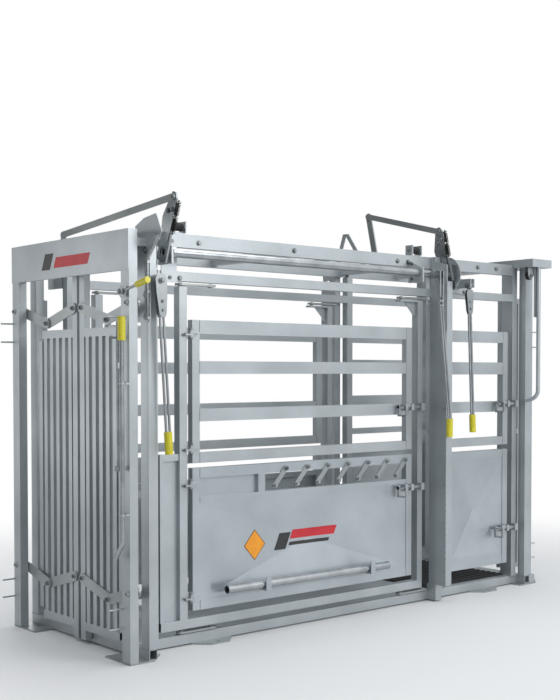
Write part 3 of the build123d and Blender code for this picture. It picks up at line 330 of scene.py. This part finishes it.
def baked(name, tree, points, material, body, edges=(), vectors=None, floats=None, **sizes):
    """Runs a tree on a small mesh of points or edges, and keeps the result as a plain mesh."""
    mesh = bpy.data.meshes.new(name + "_guide")
    mesh.from_pydata([tuple(p) for p in points], list(edges), [])
    for label, rows in (vectors or {}).items():
        layer = mesh.attributes.new(label, "FLOAT_VECTOR", "POINT")
        for index, row in enumerate(rows):
            layer.data[index].vector = row
    for label, rows in (floats or {}).items():
        layer = mesh.attributes.new(label, "FLOAT", "POINT")
        for index, row in enumerate(rows):
            layer.data[index].value = row
    guide = bpy.data.objects.new(name + "_guide", mesh)
    bpy.context.scene.collection.objects.link(guide)
    modifier = guide.modifiers.new("tool", "NODES")
    modifier.node_group = tree
    keys = {item.name: item.identifier for item in tree.interface.items_tree if item.in_out == "INPUT"}
    modifier[keys["Material"]] = material
    for label, value in sizes.items():
        modifier[keys[label.replace("_", " ")]] = value
    bpy.context.view_layer.update()
    ready = guide.evaluated_get(bpy.context.evaluated_depsgraph_get())
    result = bpy.data.meshes.new_from_object(ready)
    made = bpy.data.objects.new(name, result)
    bpy.context.scene.collection.objects.link(made)
    bpy.data.objects.remove(guide)
    for label in [item.name for item in result.attributes if item.name in ("axis", "radius", "span")]:
        result.attributes.remove(result.attributes[label])
    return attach(made, body)


def bolts(name, body, rows):
    """Bolt heads at (place, outward axis, radius across the corners), in metres."""
    return baked(name, BOLTS, [row[0] for row in rows], BOLT, body,
                 vectors={"axis": [row[1] for row in rows]}, floats={"radius": [row[2] for row in rows]})


def coils(name, body, rows, length, radius, wire, turns, material):
    """Coil springs at (place, axis), in metres."""
    return baked(name, COILS, [row[0] for row in rows], material, body,
                 vectors={"axis": [row[1] for row in rows]}, Length=length, Coil_Radius=radius,
                 Wire_Radius=wire, Turns=float(turns))


def beads(name, body, lines, **sizes):
    """Weld beads along (start, end) lines, in metres."""
    points = [end for line in lines for end in line]
    edges = [(2 * index, 2 * index + 1) for index in range(len(lines))]
    return baked(name, BEADS, points, WELD, body, edges=edges, **sizes)


def caps(name, body, rows):
    """End caps at (centre, size), in metres."""
    return baked(name, CAPS, [row[0] for row in rows], STEEL, body,
                 vectors={"span": [row[1] for row in rows]})


# ---------------------------------------------------------------- hand-made pieces

def keep(name, shape, material, body, bevel=0.0, smooth=False):
    """Turns a bmesh into a finished piece that rides on a body."""
    bmesh.ops.remove_doubles(shape, verts=shape.verts, dist=1e-6)
    bmesh.ops.recalc_face_normals(shape, faces=shape.faces)
    if bevel:
        sharp = [e for e in shape.edges if len(e.link_faces) == 2 and e.calc_face_angle() > 0.6]
        bmesh.ops.bevel(shape, geom=sharp, offset=bevel, segments=2, profile=0.5, affect="EDGES")
    mesh = bpy.data.meshes.new(name)
    shape.to_mesh(mesh)
    shape.free()
    mesh.materials.append(material)
    if smooth:
        mesh.shade_smooth()
        mesh.set_sharp_from_angle(angle=math.radians(35))
    made = bpy.data.objects.new(name, mesh)
    bpy.context.scene.collection.objects.link(made)
    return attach(made, body)


def prism(shape, outline, offset):
    """Adds an outline pushed through an offset to a bmesh."""
    first = [shape.verts.new(p) for p in outline]
    second = [shape.verts.new(Vector(p) + Vector(offset)) for p in outline]
    shape.faces.new(first)
    shape.faces.new(second[::-1])
    count = len(outline)
    for index in range(count):
        after = (index + 1) % count
        shape.faces.new((first[index], first[after], second[after], second[index]))


def plates(name, body, rows, material, bevel=0.0012):
    """Flat plates, each an outline of points and a thickness vector."""
    shape = bmesh.new()
    for outline, offset in rows:
        prism(shape, outline, offset)
    return keep(name, shape, material, body, bevel)


def turned(shape, start, end, profile, segments=28):
    """Adds a turned solid to a bmesh: profile is (share of the length, radius) rows."""
    start, end = Vector(start), Vector(end)
    along = end - start
    facing = along.to_track_quat("Z", "Y").to_matrix()
    rings = []
    angles = [2 * math.pi * k / segments for k in range(segments)]
    for share, radius in profile:
        centre = start + along * share
        rings.append([shape.verts.new(centre + facing @ Vector((math.cos(a), math.sin(a), 0)) * radius)
                      for a in angles])
    for ring, after in zip(rings, rings[1:]):
        for k in range(segments):
            beside = (k + 1) % segments
            shape.faces.new((ring[k], ring[beside], after[beside], after[k]))
    shape.faces.new(rings[0][::-1])
    shape.faces.new(rings[-1])


def turnings(name, body, rows, material):
    """Turned pieces, each a start, an end and a profile."""
    shape = bmesh.new()
    for start, end, profile in rows:
        turned(shape, start, end, profile)
    return keep(name, shape, material, body, smooth=True)


def barrel(radius, edge=0.06):
    """Profile of a plain round with softened ends."""
    return [(0, radius * 0.82), (edge * 0.4, radius * 0.95), (edge, radius), (1 - edge, radius),
            (1 - edge * 0.4, radius * 0.95), (1, radius * 0.82)]


# ---------------------------------------------------------------- fasteners

SIDES = (("near", NEAR), ("far", FAR))
LEVELS = ("low", "high")
TO_FRONT = Vector((-1, 0, 0))
TO_REAR = Vector((1, 0, 0))
TO_NEAR = Vector((0, -1, 0))
UP = Vector((0, 0, 1))
DOWN = Vector((0, 0, -1))

# Hex heads and nuts, centre to corner
HEX_TINY = 0.0065
HEX_SMALL = 0.0068
HEX_LIGHT = 0.0085
HEX_LATCH = 0.009
HEX_MEDIUM = 0.0095
HEX_LOW_NUT = 0.0105
HEX_HUB = 0.011
HEX_NUT = 0.0115
HEX_BUFFER = 0.012
HEX_LARGE = 0.0125

# Hinges, buffers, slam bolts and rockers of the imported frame
HINGE_Z = (0.263, 0.876, 1.069, 1.689)
REAR_HINGE_Z = (0.275, 0.888, 1.081, 1.701)
HINGE_Y = 0.457
BUFFER_X = (-1.425, 0.420)
BUFFER_LENGTH = 0.090
BUFFER_Y = 0.432
BUFFER_Z = 2.258
LATCH_COUNT = 7
SLAM_BOLT_Y = -0.463
ROCKER_PLACES = ((-1.540, -20.0), (0.660, 13.0))    # front face and lean in degrees
ARM_PIN_HEAD = 0.009         # how far each head stands in front of the post
RELEASE_PIN_HEAD = 0.038
YOKE_T = 0.003               # thickness of a yoke's cheek


def headgate_bolts():
    """Bolts on the arm pivots, the knees and the door studs, and the release lever's hub."""
    post_rows = []
    for label, side in SIDES:
        stud_rows = []
        for level in LEVELS:
            name = f"{label}_{level}"
            post_pin = pivot(f"headgate_arm_turn_{name}")
            post_rows.append(((POST_FRONT - ARM_PIN_HEAD, post_pin.y, post_pin.z), TO_FRONT, HEX_TINY))
            knee = pivot(f"headgate_knee_{name}")
            knee_front = low(f"arm_outer_{name}").x
            bolts(f"knee_bolt_{name}", f"arm_outer_{name}",
                  [((knee_front, knee.y, knee.z), TO_FRONT, HEX_MEDIUM)])
            stud_rows.append(((-1.746, side * 0.042, post_pin.z), TO_FRONT, HEX_LIGHT))
        bolts(f"door_stud_bolts_{label}", f"headgate_door_{label}", stud_rows)
    hub = pivot("release_lever_turn")
    post_rows.append(((POST_FRONT - RELEASE_PIN_HEAD, hub.y, hub.z), TO_FRONT, HEX_HUB))
    for z in (2.098, 1.873, 1.763):
        post_rows.append(((CROWN_FRONT, NEAR_OUT + 0.016, z), TO_FRONT, HEX_LARGE))
    bolts("headgate_post_bolts", "frame", post_rows)


def roof_bolts():
    """Bolts through the roof beams, the buffer brackets and the shaft bearings."""
    rows = []
    for _, side in SIDES:
        out = Vector((0, side, 0))
        for x, z in ((-1.425, 2.178), (-1.245, 2.178), (0.300, 2.178), (0.395, 2.178), (-0.560, 2.184),
                     (-1.440, 1.983), (-1.372, 1.983), (1.075, 2.184), (1.265, 2.184)):
            rows.append(((x, side * TUBE_OUT, z), out, HEX_NUT))
        for x0 in BUFFER_X:
            for x, way in ((x0, TO_FRONT), (x0 + BUFFER_LENGTH, TO_REAR)):
                rows.append(((x, side * BUFFER_Y, BUFFER_Z), way, HEX_BUFFER))
    for x in (-1.510, 0.400):
        for z in (2.165, 2.070):
            rows.append(((x, -0.475, z), TO_FRONT, HEX_LATCH))
    bolts("roof_bolts", "frame", rows)


def lever_bolts():
    """Bolts on the pins of the hand levers."""
    place = pivot("headgate_lever_swing")
    rows = [((place.x, -0.676, place.z), TO_NEAR, HEX_NUT)]
    place = pivot("tailgate_lever_swing")
    rows.append(((place.x - 0.020, LEVER_Y, place.z), TO_FRONT, HEX_LARGE))
    rows.append(((place.x + 0.020, LEVER_Y, place.z), TO_REAR, HEX_LARGE))
    for dx, dz in ((-0.070, 0.032), (-0.070, -0.030), (0.068, -0.035)):
        rows.append(((place.x + dx, -0.456, place.z + dz), TO_NEAR, HEX_MEDIUM))
    bolts("lever_pin_bolts", "frame", rows)
    x = low("squeeze_shaft_grip").x - 0.066
    rows = [((x, -0.633, z), TO_NEAR, HEX_LIGHT) for z in (1.945, 1.915)]
    bolts("squeeze_lever_bolts", "squeeze_shaft", rows)


def hinge_nuts(x, side, z):
    """Upper and lower nut of one hinge."""
    y = side * HINGE_Y
    return [((x, y, z + 0.020), UP, HEX_NUT), ((x, y, z - 0.022), DOWN, HEX_LOW_NUT)]


def hinge_bolts():
    """Nuts above and below the upright bolts of the gate hinges, and on the ends of their lugs."""
    for label, side in SIDES:
        hinge = pivot(f"upper_gate_swing_{label}")
        rows = []
        for z in HINGE_Z:
            rows += hinge_nuts(hinge.x, side, z)
            rows.append(((hinge.x - 0.043, side * (HINGE_Y + 0.002), z - 0.006), TO_FRONT, HEX_SMALL))
        bolts(f"hinge_nuts_{label}", f"side_frame_{label}", rows)
    hinge = pivot("rear_gate_swing_upper")
    rows = [row for z in REAR_HINGE_Z for row in hinge_nuts(hinge.x, NEAR, z)]
    bolts("rear_hinge_nuts", "frame", rows)


def latch_row_bolts():
    """Shoulder bolts of the drop latches."""
    rows = []
    for index in range(1, LATCH_COUNT + 1):
        place = pivot(f"drop_latch_turn_{index}")
        rows.append(((place.x, -0.461, place.z), TO_NEAR, HEX_LATCH))
    bolts("drop_latch_bolts", "lower_gate_near", rows)


def rocker_line(lean):
    """Up the rocker, and out from it towards the operator, as unit vectors."""
    angle = math.radians(lean)
    return Vector((0, math.sin(angle), math.cos(angle))), Vector((0, -math.cos(angle), math.sin(angle)))


def rockers():
    """Return springs along the outer edges of the two rockers, with their lugs, rods and bolts, and a dark
    strip of painted shade where each rocker has a slot.
    """
    bolt_rows, spring_rows, lug_rows, rod_rows, slot_shade_rows = [], [], [], [], []
    for x, lean in ROCKER_PLACES:
        along, out = rocker_line(lean)
        foot = Vector((x + 0.005, SHAFT.y, SHAFT.z))
        for up, aside in ((0.290, 0.0), (0.228, 0.016), (0.214, -0.018)):
            place = foot + along * up + out * aside
            bolt_rows.append(((x, place.y, place.z), TO_FRONT, HEX_LOW_NUT))
        edge = foot + out * 0.049
        for first in (0.125, 0.205):
            spring_rows.append((edge + along * first, along))
        rod_rows.append((edge + along * 0.105, edge + along * 0.285, barrel(0.0045)))
        for up in (0.113, 0.190, 0.271):
            start = foot + out * 0.026 + along * up
            wide, tall = out * 0.037, along * 0.007
            outline = [start, start + wide, start + wide + tall, start + tall]
            lug_rows.append(([p + TO_FRONT * 0.0075 for p in outline], TO_REAR * 0.015))
        # Painted shade: a thin oil-black strip laid flat on the rocker's face stands in for the shadowed
        # inside of a slot
        slot_start = foot + out * 0.030 + along * 0.060 + TO_FRONT * 0.0056
        slot_end = foot + out * 0.036 + along * 0.185 + TO_FRONT * 0.0056
        side = out * 0.0035
        slot_shade_rows.append(([slot_start - side, slot_start + side, slot_end + side, slot_end - side],
                            TO_REAR * 0.0012))
    bolts("rocker_bolts", "squeeze_shaft", bolt_rows)
    coils("rocker_springs", "squeeze_shaft", spring_rows, 0.062, 0.0115, 0.0022, 9, SPRING)
    plates("rocker_lugs", "squeeze_shaft", lug_rows, LINKAGE)
    turnings("rocker_spring_rods", "squeeze_shaft", rod_rows, SPRING)
    # the slot strips are painted shade in the oil-black spring finish
    plates("rocker_grooves", "squeeze_shaft", slot_shade_rows, SPRING, 0.0)


def latch_springs():
    """Springs that push the slam bolts home, between their guides."""
    for gate, label in (("upper_gate_near", "upper"), ("lower_gate_near", "lower"),
                        ("rear_gate_upper", "rear_upper"), ("rear_gate_lower", "rear_lower")):
        latch = f"slam_latch_{label}"
        reach = 0.039 if gate.startswith("rear") else 0.044
        edge = high(latch).x - reach
        z = high(latch).z - 0.010
        coils(f"latch_spring_{label}", gate, [((edge - 0.067, SLAM_BOLT_Y, z), TO_REAR)], 0.024, 0.0148,
              0.0018, 5, ZINC)
        start = Vector((edge - 0.146, SLAM_BOLT_Y, z))
        collar = (start, start + TO_REAR * 0.018, barrel(0.0155, 0.2))
        turnings(f"latch_collar_{label}", latch, [collar], ZINC)


# ---------------------------------------------------------------- yokes, rollers, buffers, rods

def yokes():
    """Tapered cheek plates that hold the twin rods of the hanging levers to their hubs."""
    for lever, first, half in (("headgate_lever", -0.034, 0.012), ("tailgate_lever", 0.028, 0.0075)):
        hub = pivot(lever + "_swing")
        foot = (low(lever + "_grip") + high(lever + "_grip")) / 2
        down = Vector((foot.x - hub.x, 0, foot.z - hub.z)).normalized()
        aside = Vector((-down.z, 0, down.x))
        corners = [(first, 0.022), (first + 0.022, 0.034), (0.055, 0.034), (0.165, 0.022), (0.185, 0.014)]
        rows = []
        for y in (foot.y - half - YOKE_T, foot.y + half):
            start = Vector((hub.x, y, hub.z))
            outline = [start + down * run + aside * wide for run, wide in corners]
            outline += [start + down * run - aside * wide for run, wide in corners[::-1]]
            rows.append((outline, Vector((0, YOKE_T, 0))))
        plates(lever + "_yoke", lever, rows, LINKAGE, 0.0006)
        rows = [((p.x, foot.y - half - YOKE_T, p.z), TO_NEAR, HEX_SMALL)
                for p in (hub + down * 0.105, hub + down * 0.150)]
        bolts(lever + "_yoke_bolts", lever, rows)


def buffers():
    """Rubber sleeves of the stops on the roof beams."""
    rows = []
    for _, side in SIDES:
        for x in BUFFER_X:
            start = Vector((x + 0.0085, side * BUFFER_Y, BUFFER_Z))
            rows.append((start, start + TO_REAR * 0.073, barrel(0.0232, 0.12)))
    turnings("roof_buffers", "frame", rows, RUBBER)


def header_roller():
    """Grooved rubber roller on two hanger plates under the rear header, at the operator's end."""
    x, z = 1.495, 2.142
    rows = []
    for y in (-0.567, -0.533):
        outline = [Vector((x + dx, y, z + dz)) for dx, dz in
                   ((-0.030, 0.058), (0.036, 0.058), (0.036, 0.010), (0.012, -0.020), (-0.014, -0.020),
                    (-0.030, 0.006))]
        rows.append((outline, Vector((0, 0.005, 0))))
    plates("roller_hangers", "frame", rows, LINKAGE)
    start = Vector((x, -0.560, z))
    rim = [(0, 0.021), (0.04, 0.026), (0.25, 0.027), (0.38, 0.0235), (0.62, 0.0235), (0.75, 0.027),
           (0.96, 0.026), (1, 0.021)]
    turnings("header_roller", "frame", [(start, start + Vector((0, 0.025, 0)), rim)], RUBBER)
    bolts("roller_bolt", "frame", [((x, -0.567, z), TO_NEAR, 0.010)])


def mast_rods():
    """Pair of bent rods that run up the outer edge of the front plate, in their clips."""
    shape = bmesh.new()
    for y, radius in ((-0.627, 0.0065), (-0.611, 0.0055)):
        foot = Vector((CROWN_FRONT - 0.008, y, 1.760))
        bend = Vector((foot.x, y, 2.056))
        crest = bend + Vector((0, -0.098, 0.112))
        turned(shape, foot, bend, barrel(radius, 0.02))
        turned(shape, bend - Vector((0, 0, 0.004)), crest, barrel(radius, 0.04))
    keep("mast_rods", shape, ZINC, "frame", smooth=True)
    rows = []
    for z in (1.748, 1.880, 2.030):
        outline = [Vector((x, y, z)) for x, y in
                   ((-1.706, -0.636), (CROWN_FRONT, -0.636), (CROWN_FRONT, -0.602), (-1.706, -0.602))]
        rows.append((outline, Vector((0, 0, 0.014))))
    plates("mast_clips", "frame", rows, LINKAGE)


# ---------------------------------------------------------------- plain stickers

PANEL = (-1.234, 0.387, 0.243, 0.768)    # edges of the pressed sheet, along X and then Z
PANEL_FACE = -0.442
PANEL_RISE = 0.034                       # rim to the point in the middle
FILM = 0.0004                            # thickness of a sticker
HEADER_FACE = -1.8044                    # just in front of the header plate
SLANT = 0.45                             # lean of a stripe, as a share of its height


def panel_face(x, z):
    """Outer face of the near lower gate's pressed sheet, which sinks to a point in the middle."""
    x0, x1, z0, z1 = PANEL
    share = min((x - x0) / ((x1 - x0) / 2), (x1 - x) / ((x1 - x0) / 2), (z - z0) / ((z1 - z0) / 2),
                (z1 - z) / ((z1 - z0) / 2))
    return PANEL_FACE + PANEL_RISE * max(0.0, min(1.0, share))


def film(name, body, corners, material, lay, parts=12):
    """Four-cornered film laid on a surface: lay gives the place of a point of the flat film."""
    a, b, c, d = (Vector(corner) for corner in corners)
    shape = bmesh.new()
    grid = []
    for i in range(parts + 1):
        s = i / parts
        row = []
        for j in range(parts + 1):
            t = j / parts
            flat_point = a * (1 - s) * (1 - t) + b * s * (1 - t) + c * s * t + d * (1 - s) * t
            row.append(shape.verts.new(lay(flat_point.x, flat_point.y)))
        grid.append(row)
    for i in range(parts):
        for j in range(parts):
            shape.faces.new((grid[i][j], grid[i + 1][j], grid[i + 1][j + 1], grid[i][j + 1]))
    mesh = bpy.data.meshes.new(name)
    shape.to_mesh(mesh)
    shape.free()
    mesh.materials.append(material)
    made = bpy.data.objects.new(name, mesh)
    bpy.context.scene.collection.objects.link(made)
    thick = made.modifiers.new("film", "SOLIDIFY")
    thick.thickness = FILM
    thick.offset = 0.0
    bpy.context.view_layer.update()
    solid = bpy.data.meshes.new_from_object(made.evaluated_get(bpy.context.evaluated_depsgraph_get()))
    made.modifiers.clear()
    made.data = solid
    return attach(made, body)


def stickers():
    """A plain orange diamond and plain slanted stripes, in place of any printed marks."""
    orange, edge = sticker("orange vinyl film", "#d98a06"), sticker("brown vinyl film", "#5a3408")
    black, red = sticker("black vinyl film", "#1b1a1c"), sticker("red vinyl film", "#b3121f")

    def on_panel(lift):
        return lambda x, z: Vector((x, panel_face(x, z) - lift, z))

    def on_header(y, z):
        return Vector((HEADER_FACE, y, z))

    centre_x, centre_z = -0.839, 0.500
    for name, half, tall, lift, material in (("diamond_edge", 0.081, 0.088, 0.0006, edge),
                                             ("diamond_face", 0.075, 0.082, 0.0011, orange)):
        film(name, "lower_gate_near", [(centre_x - half, centre_z), (centre_x, centre_z - tall),
                                       (centre_x + half, centre_z), (centre_x, centre_z + tall)], material,
             on_panel(lift))
    for name, x0, x1, z0, z1, material in (("stripe_black", -0.690, -0.600, 0.452, 0.548, black),
                                           ("stripe_red", -0.565, -0.215, 0.508, 0.560, red),
                                           ("stripe_low", -0.575, -0.260, 0.470, 0.490, black)):
        slant = (z1 - z0) * SLANT
        film(name, "lower_gate_near", [(x0, z0), (x1, z0), (x1 + slant, z1), (x0 + slant, z1)], material,
             on_panel(0.0008), 24)
    for name, y0, y1, z0, z1, material in (("header_black", 0.262, 0.170, 2.044, 2.132, black),
                                           ("header_red", 0.130, -0.225, 2.050, 2.108, red)):
        slant = (z1 - z0) * SLANT
        film(name, "frame", [(y0, z0), (y1, z0), (y1 - slant, z1), (y0 - slant, z1)], material, on_header)


# ---------------------------------------------------------------- welds and end caps

FINE_BEAD = {"Pitch": 0.0045, "Drop_Length": 0.0032, "Drop_Radius": 0.0021}
COARSE_BEAD = {"Pitch": 0.006, "Drop_Length": 0.0045, "Drop_Radius": 0.003}
STITCH = {"Pitch": 0.038, "Drop_Length": 0.010, "Drop_Radius": 0.003}
SIDE_RAILS = {"upper": ((0.990, 1.045), (1.214, 1.283), (1.472, 1.542), (1.689, 1.764)),
              "lower": ((0.185, 0.240), (0.771, 0.803), (0.906, 0.961))}
REAR_RAILS = {"upper": ((0.985, 1.040), (1.212, 1.283), (1.466, 1.548), (1.682, 1.757)),
              "lower": ((0.163, 0.218), (0.897, 0.952))}
RAIL_ENDS = (-1.237, 0.390)
REAR_RAIL_ENDS = (0.816, 1.352)


def rail_lines(side, ends, spans):
    """Lines up the ends of a gate's rails, on both faces, short of their edges."""
    return [((x, side * y, first + 0.003), (x, side * y, last - 0.003))
            for x in ends for first, last in spans for y in GATE_FACES]


def gate_welds():
    """Beads where the rails of the gates meet their stiles, on both faces."""
    for label, side in SIDES:
        for level, spans in SIDE_RAILS.items():
            gate = f"{level}_gate_{label}"
            beads(f"{gate}_welds", gate, rail_lines(side, RAIL_ENDS, spans), **FINE_BEAD)
    for level, spans in REAR_RAILS.items():
        gate = f"rear_gate_{level}"
        beads(f"{gate}_welds", gate, rail_lines(NEAR, REAR_RAIL_ENDS, spans), **FINE_BEAD)


def frame_welds():
    """Beads around the feet and the corners of the fixed frame, and stitches on the front plates."""
    lines = []
    post_faces = (-1.7995, -1.7505)
    foot_z = 0.010
    beam_z = 0.063
    for _, side in SIDES:
        inner, outer = side * 0.5385, side * 0.6125
        for x in post_faces:
            lines.append(((x, inner, foot_z), (x, outer, foot_z)))
        lines.append(((post_faces[0], inner, foot_z), (post_faces[1], inner, foot_z)))
        for x0, x1, y0, y1 in ((-1.685, -1.635, 0.543, 0.613), (1.445, 1.495, 0.398, TUBE_OUT),
                               (0.678, 0.728, 0.398, TUBE_OUT), (1.520, 1.575, TUBE_OUT, 0.503)):
            corner = [(x, side * y, beam_z) for x, y in ((x0, y0), (x1, y0), (x1, y1), (x0, y1))]
            lines += [(corner[k], corner[(k + 1) % 4]) for k in range(4)]
        for x in (-1.565, -1.515, 0.678, 0.728):
            lines.append(((x, side * 0.4485, 1.970), (x, side * 0.4485, 2.016)))
    beads("frame_welds", "frame", lines, **COARSE_BEAD)
    stitches = [((0.6005, side * 0.5905, 0.135), (0.6005, side * 0.5905, 1.715)) for _, side in SIDES]
    beads("plate_stitches", "frame", stitches, **STITCH)


def tube_caps():
    """End caps pressed into the open tops and bottoms of the tubes."""
    rows = []
    for _, side in SIDES:
        for x, y, z, wide, deep in ((-1.775, 0.5755, 2.1985, 0.043, 0.067),
                                    (-1.660, 0.578, 2.1565, 0.043, 0.062),
                                    (0.631, 0.5195, 2.0585, 0.043, 0.135)):
            rows.append(((x, side * y, z), (wide, deep, CAP)))
    caps("frame_caps", "frame", rows)
    gate_end = (STILE_WIDTH, 0.033, CAP)
    for label, side in SIDES:
        rows = [((x, side * GATE_MID, 1.9375), (STILE_WIDTH, STILE_WIDTH, CAP)) for x in (-1.350, 0.5105)]
        caps(f"side_caps_{label}", f"side_frame_{label}", rows)
        for level, ends in (("upper", (0.9915, 1.7625)), ("lower", (0.1865, 0.9595))):
            rows = [((x, side * GATE_MID, z), gate_end) for x in (-1.262, 0.415) for z in ends]
            caps(f"{level}_gate_caps_{label}", f"{level}_gate_{label}", rows)
        rows = [((-1.709, side * 0.037, z), (0.031, 0.041, CAP)) for z in (0.0245, 2.0945)]
        rows += [((-1.709, side * 0.418, z), (0.031, 0.033, CAP)) for z in (0.1385, 1.6555)]
        caps(f"door_caps_{label}", f"headgate_door_{label}", rows)
    for level, ends in (("upper", (0.9865, 1.7555)), ("lower", (0.1645, 0.9505))):
        rows = [((x, -GATE_MID, z), gate_end) for x in (0.791, 1.377) for z in ends]
        caps(f"rear_{level}_caps", f"rear_gate_{level}", rows)


headgate_bolts()
roof_bolts()
lever_bolts()
hinge_bolts()
latch_row_bolts()
rockers()
latch_springs()
yokes()
buffers()
header_roller()
mast_rods()
gate_welds()
frame_welds()
tube_caps()
stickers()


# ---------------------------------------------------------------- stage, light and camera

FLOOR_FADE = (1.9, 5.4)      # distance from the origin where the floor starts and ends its fade
FLOOR_REACH = 80.0


def floor_material():
    """Pale matt floor that fades to plain white away from the object, so that no horizon shows."""
    made, tree = empty_material("pale studio floor")
    matt = put(tree, "ShaderNodeBsdfPrincipled", Base_Color=linear("#cdcecf"), Roughness=0.7)
    place = put(tree, "ShaderNodeTexCoord").outputs["Object"]
    away = put(tree, "ShaderNodeVectorMath", {"operation": "LENGTH"}, _0=place).outputs["Value"]
    fade = put(tree, "ShaderNodeMapRange", {"interpolation_type": "SMOOTHSTEP"}, Value=away,
               From_Min=FLOOR_FADE[0], From_Max=FLOOR_FADE[1]).outputs["Result"]
    seen = put(tree, "ShaderNodeLightPath").outputs["Is Camera Ray"]
    share = put(tree, "ShaderNodeMath", {"operation": "MULTIPLY"}, _0=fade, _1=seen).outputs[0]
    white = put(tree, "ShaderNodeEmission", Color=linear("#ffffff"), Strength=1.0)
    mix = put(tree, "ShaderNodeMixShader", _0=share, _1=matt.outputs[0], _2=white.outputs[0])
    put(tree, "ShaderNodeOutputMaterial", Surface=mix.outputs[0])
    return made


def floor():
    """Large pale floor."""
    mesh = bpy.data.meshes.new("studio_floor")
    corners = [(x * FLOOR_REACH, y * FLOOR_REACH, 0) for x, y in ((-1, -1), (1, -1), (1, 1), (-1, 1))]
    mesh.from_pydata(corners, [], [(0, 1, 2, 3)])
    made = bpy.data.objects.new("studio_floor", mesh)
    bpy.context.scene.collection.objects.link(made)
    made.data.materials.append(floor_material())


def area_light(name, place, target, size, power):
    """Soft rectangular light that the camera does not see."""
    data = bpy.data.lights.new(name, "AREA")
    data.shape = "RECTANGLE"
    data.size, data.size_y = size
    data.energy = power
    made = bpy.data.objects.new(name, data)
    made.location = place
    made.rotation_euler = (Vector(target) - Vector(place)).to_track_quat("-Z", "Y").to_euler()
    made.visible_camera = False
    bpy.context.scene.collection.objects.link(made)


def world():
    """Soft studio surround: the camera sees plain white, the object a dimmer sky."""
    made = bpy.data.worlds.new("studio")
    bpy.context.scene.world = made
    made.use_nodes = True
    tree = made.node_tree
    tree.nodes.clear()
    seen = put(tree, "ShaderNodeBackground", Color=linear("#ffffff"), Strength=1.0)
    way = put(tree, "ShaderNodeTexCoord").outputs["Generated"]
    facing = put(tree, "ShaderNodeVectorMath", {"operation": "DOT_PRODUCT"}, _0=way,
                 _1=(0.38, -0.78, 0.50)).outputs["Value"]
    level = put(tree, "ShaderNodeMapRange", {"interpolation_type": "SMOOTHSTEP"}, Value=facing, From_Min=-0.6,
                From_Max=0.95, To_Min=0.10, To_Max=1.25).outputs["Result"]
    felt = put(tree, "ShaderNodeBackground", Color=linear("#eef1f4"), Strength=level)
    path = put(tree, "ShaderNodeLightPath")
    mix = put(tree, "ShaderNodeMixShader", _0=path.outputs["Is Camera Ray"], _1=felt.outputs[0],
              _2=seen.outputs[0])
    put(tree, "ShaderNodeOutputWorld", Surface=mix.outputs[0])


def camera():
    """Eye level with the lower gate, looking at the near front corner."""
    data = bpy.data.cameras.new("camera")
    made = bpy.data.objects.new("camera", data)
    bpy.context.scene.collection.objects.link(made)
    yaw = math.radians(49.51)
    pitch = math.radians(1.73)
    ahead = Vector((math.cos(yaw) * math.cos(pitch), math.sin(yaw) * math.cos(pitch), -math.sin(pitch)))
    made.location = (-4.992, -5.512, 1.482)
    made.rotation_euler = ahead.to_track_quat("-Z", "Y").to_euler()
    data.sensor_fit = "VERTICAL"
    data.sensor_height = 36
    data.lens = 59.61
    data.shift_y = 0.0816
    data.clip_end = 200
    bpy.context.scene.camera = made


floor()
world()
camera()
area_light("key", (1.2, -6.6, 4.6), (0, 0, 1.0), (4.0, 3.0), 200)
area_light("front", (-3.3, 1.5, 1.6), (-1.8, 0.0, 1.2), (1.6, 2.0), 13)
area_light("top", (0, 0, 6.0), (0, 0, 0), (5, 4), 170)
area_light("back", (1.5, 6.5, 3.5), (0, 0, 1.0), (4.0, 3.0), 95)
bpy.context.scene.view_settings.view_transform = "Standard"
bpy.context.scene.view_settings.look = "None"
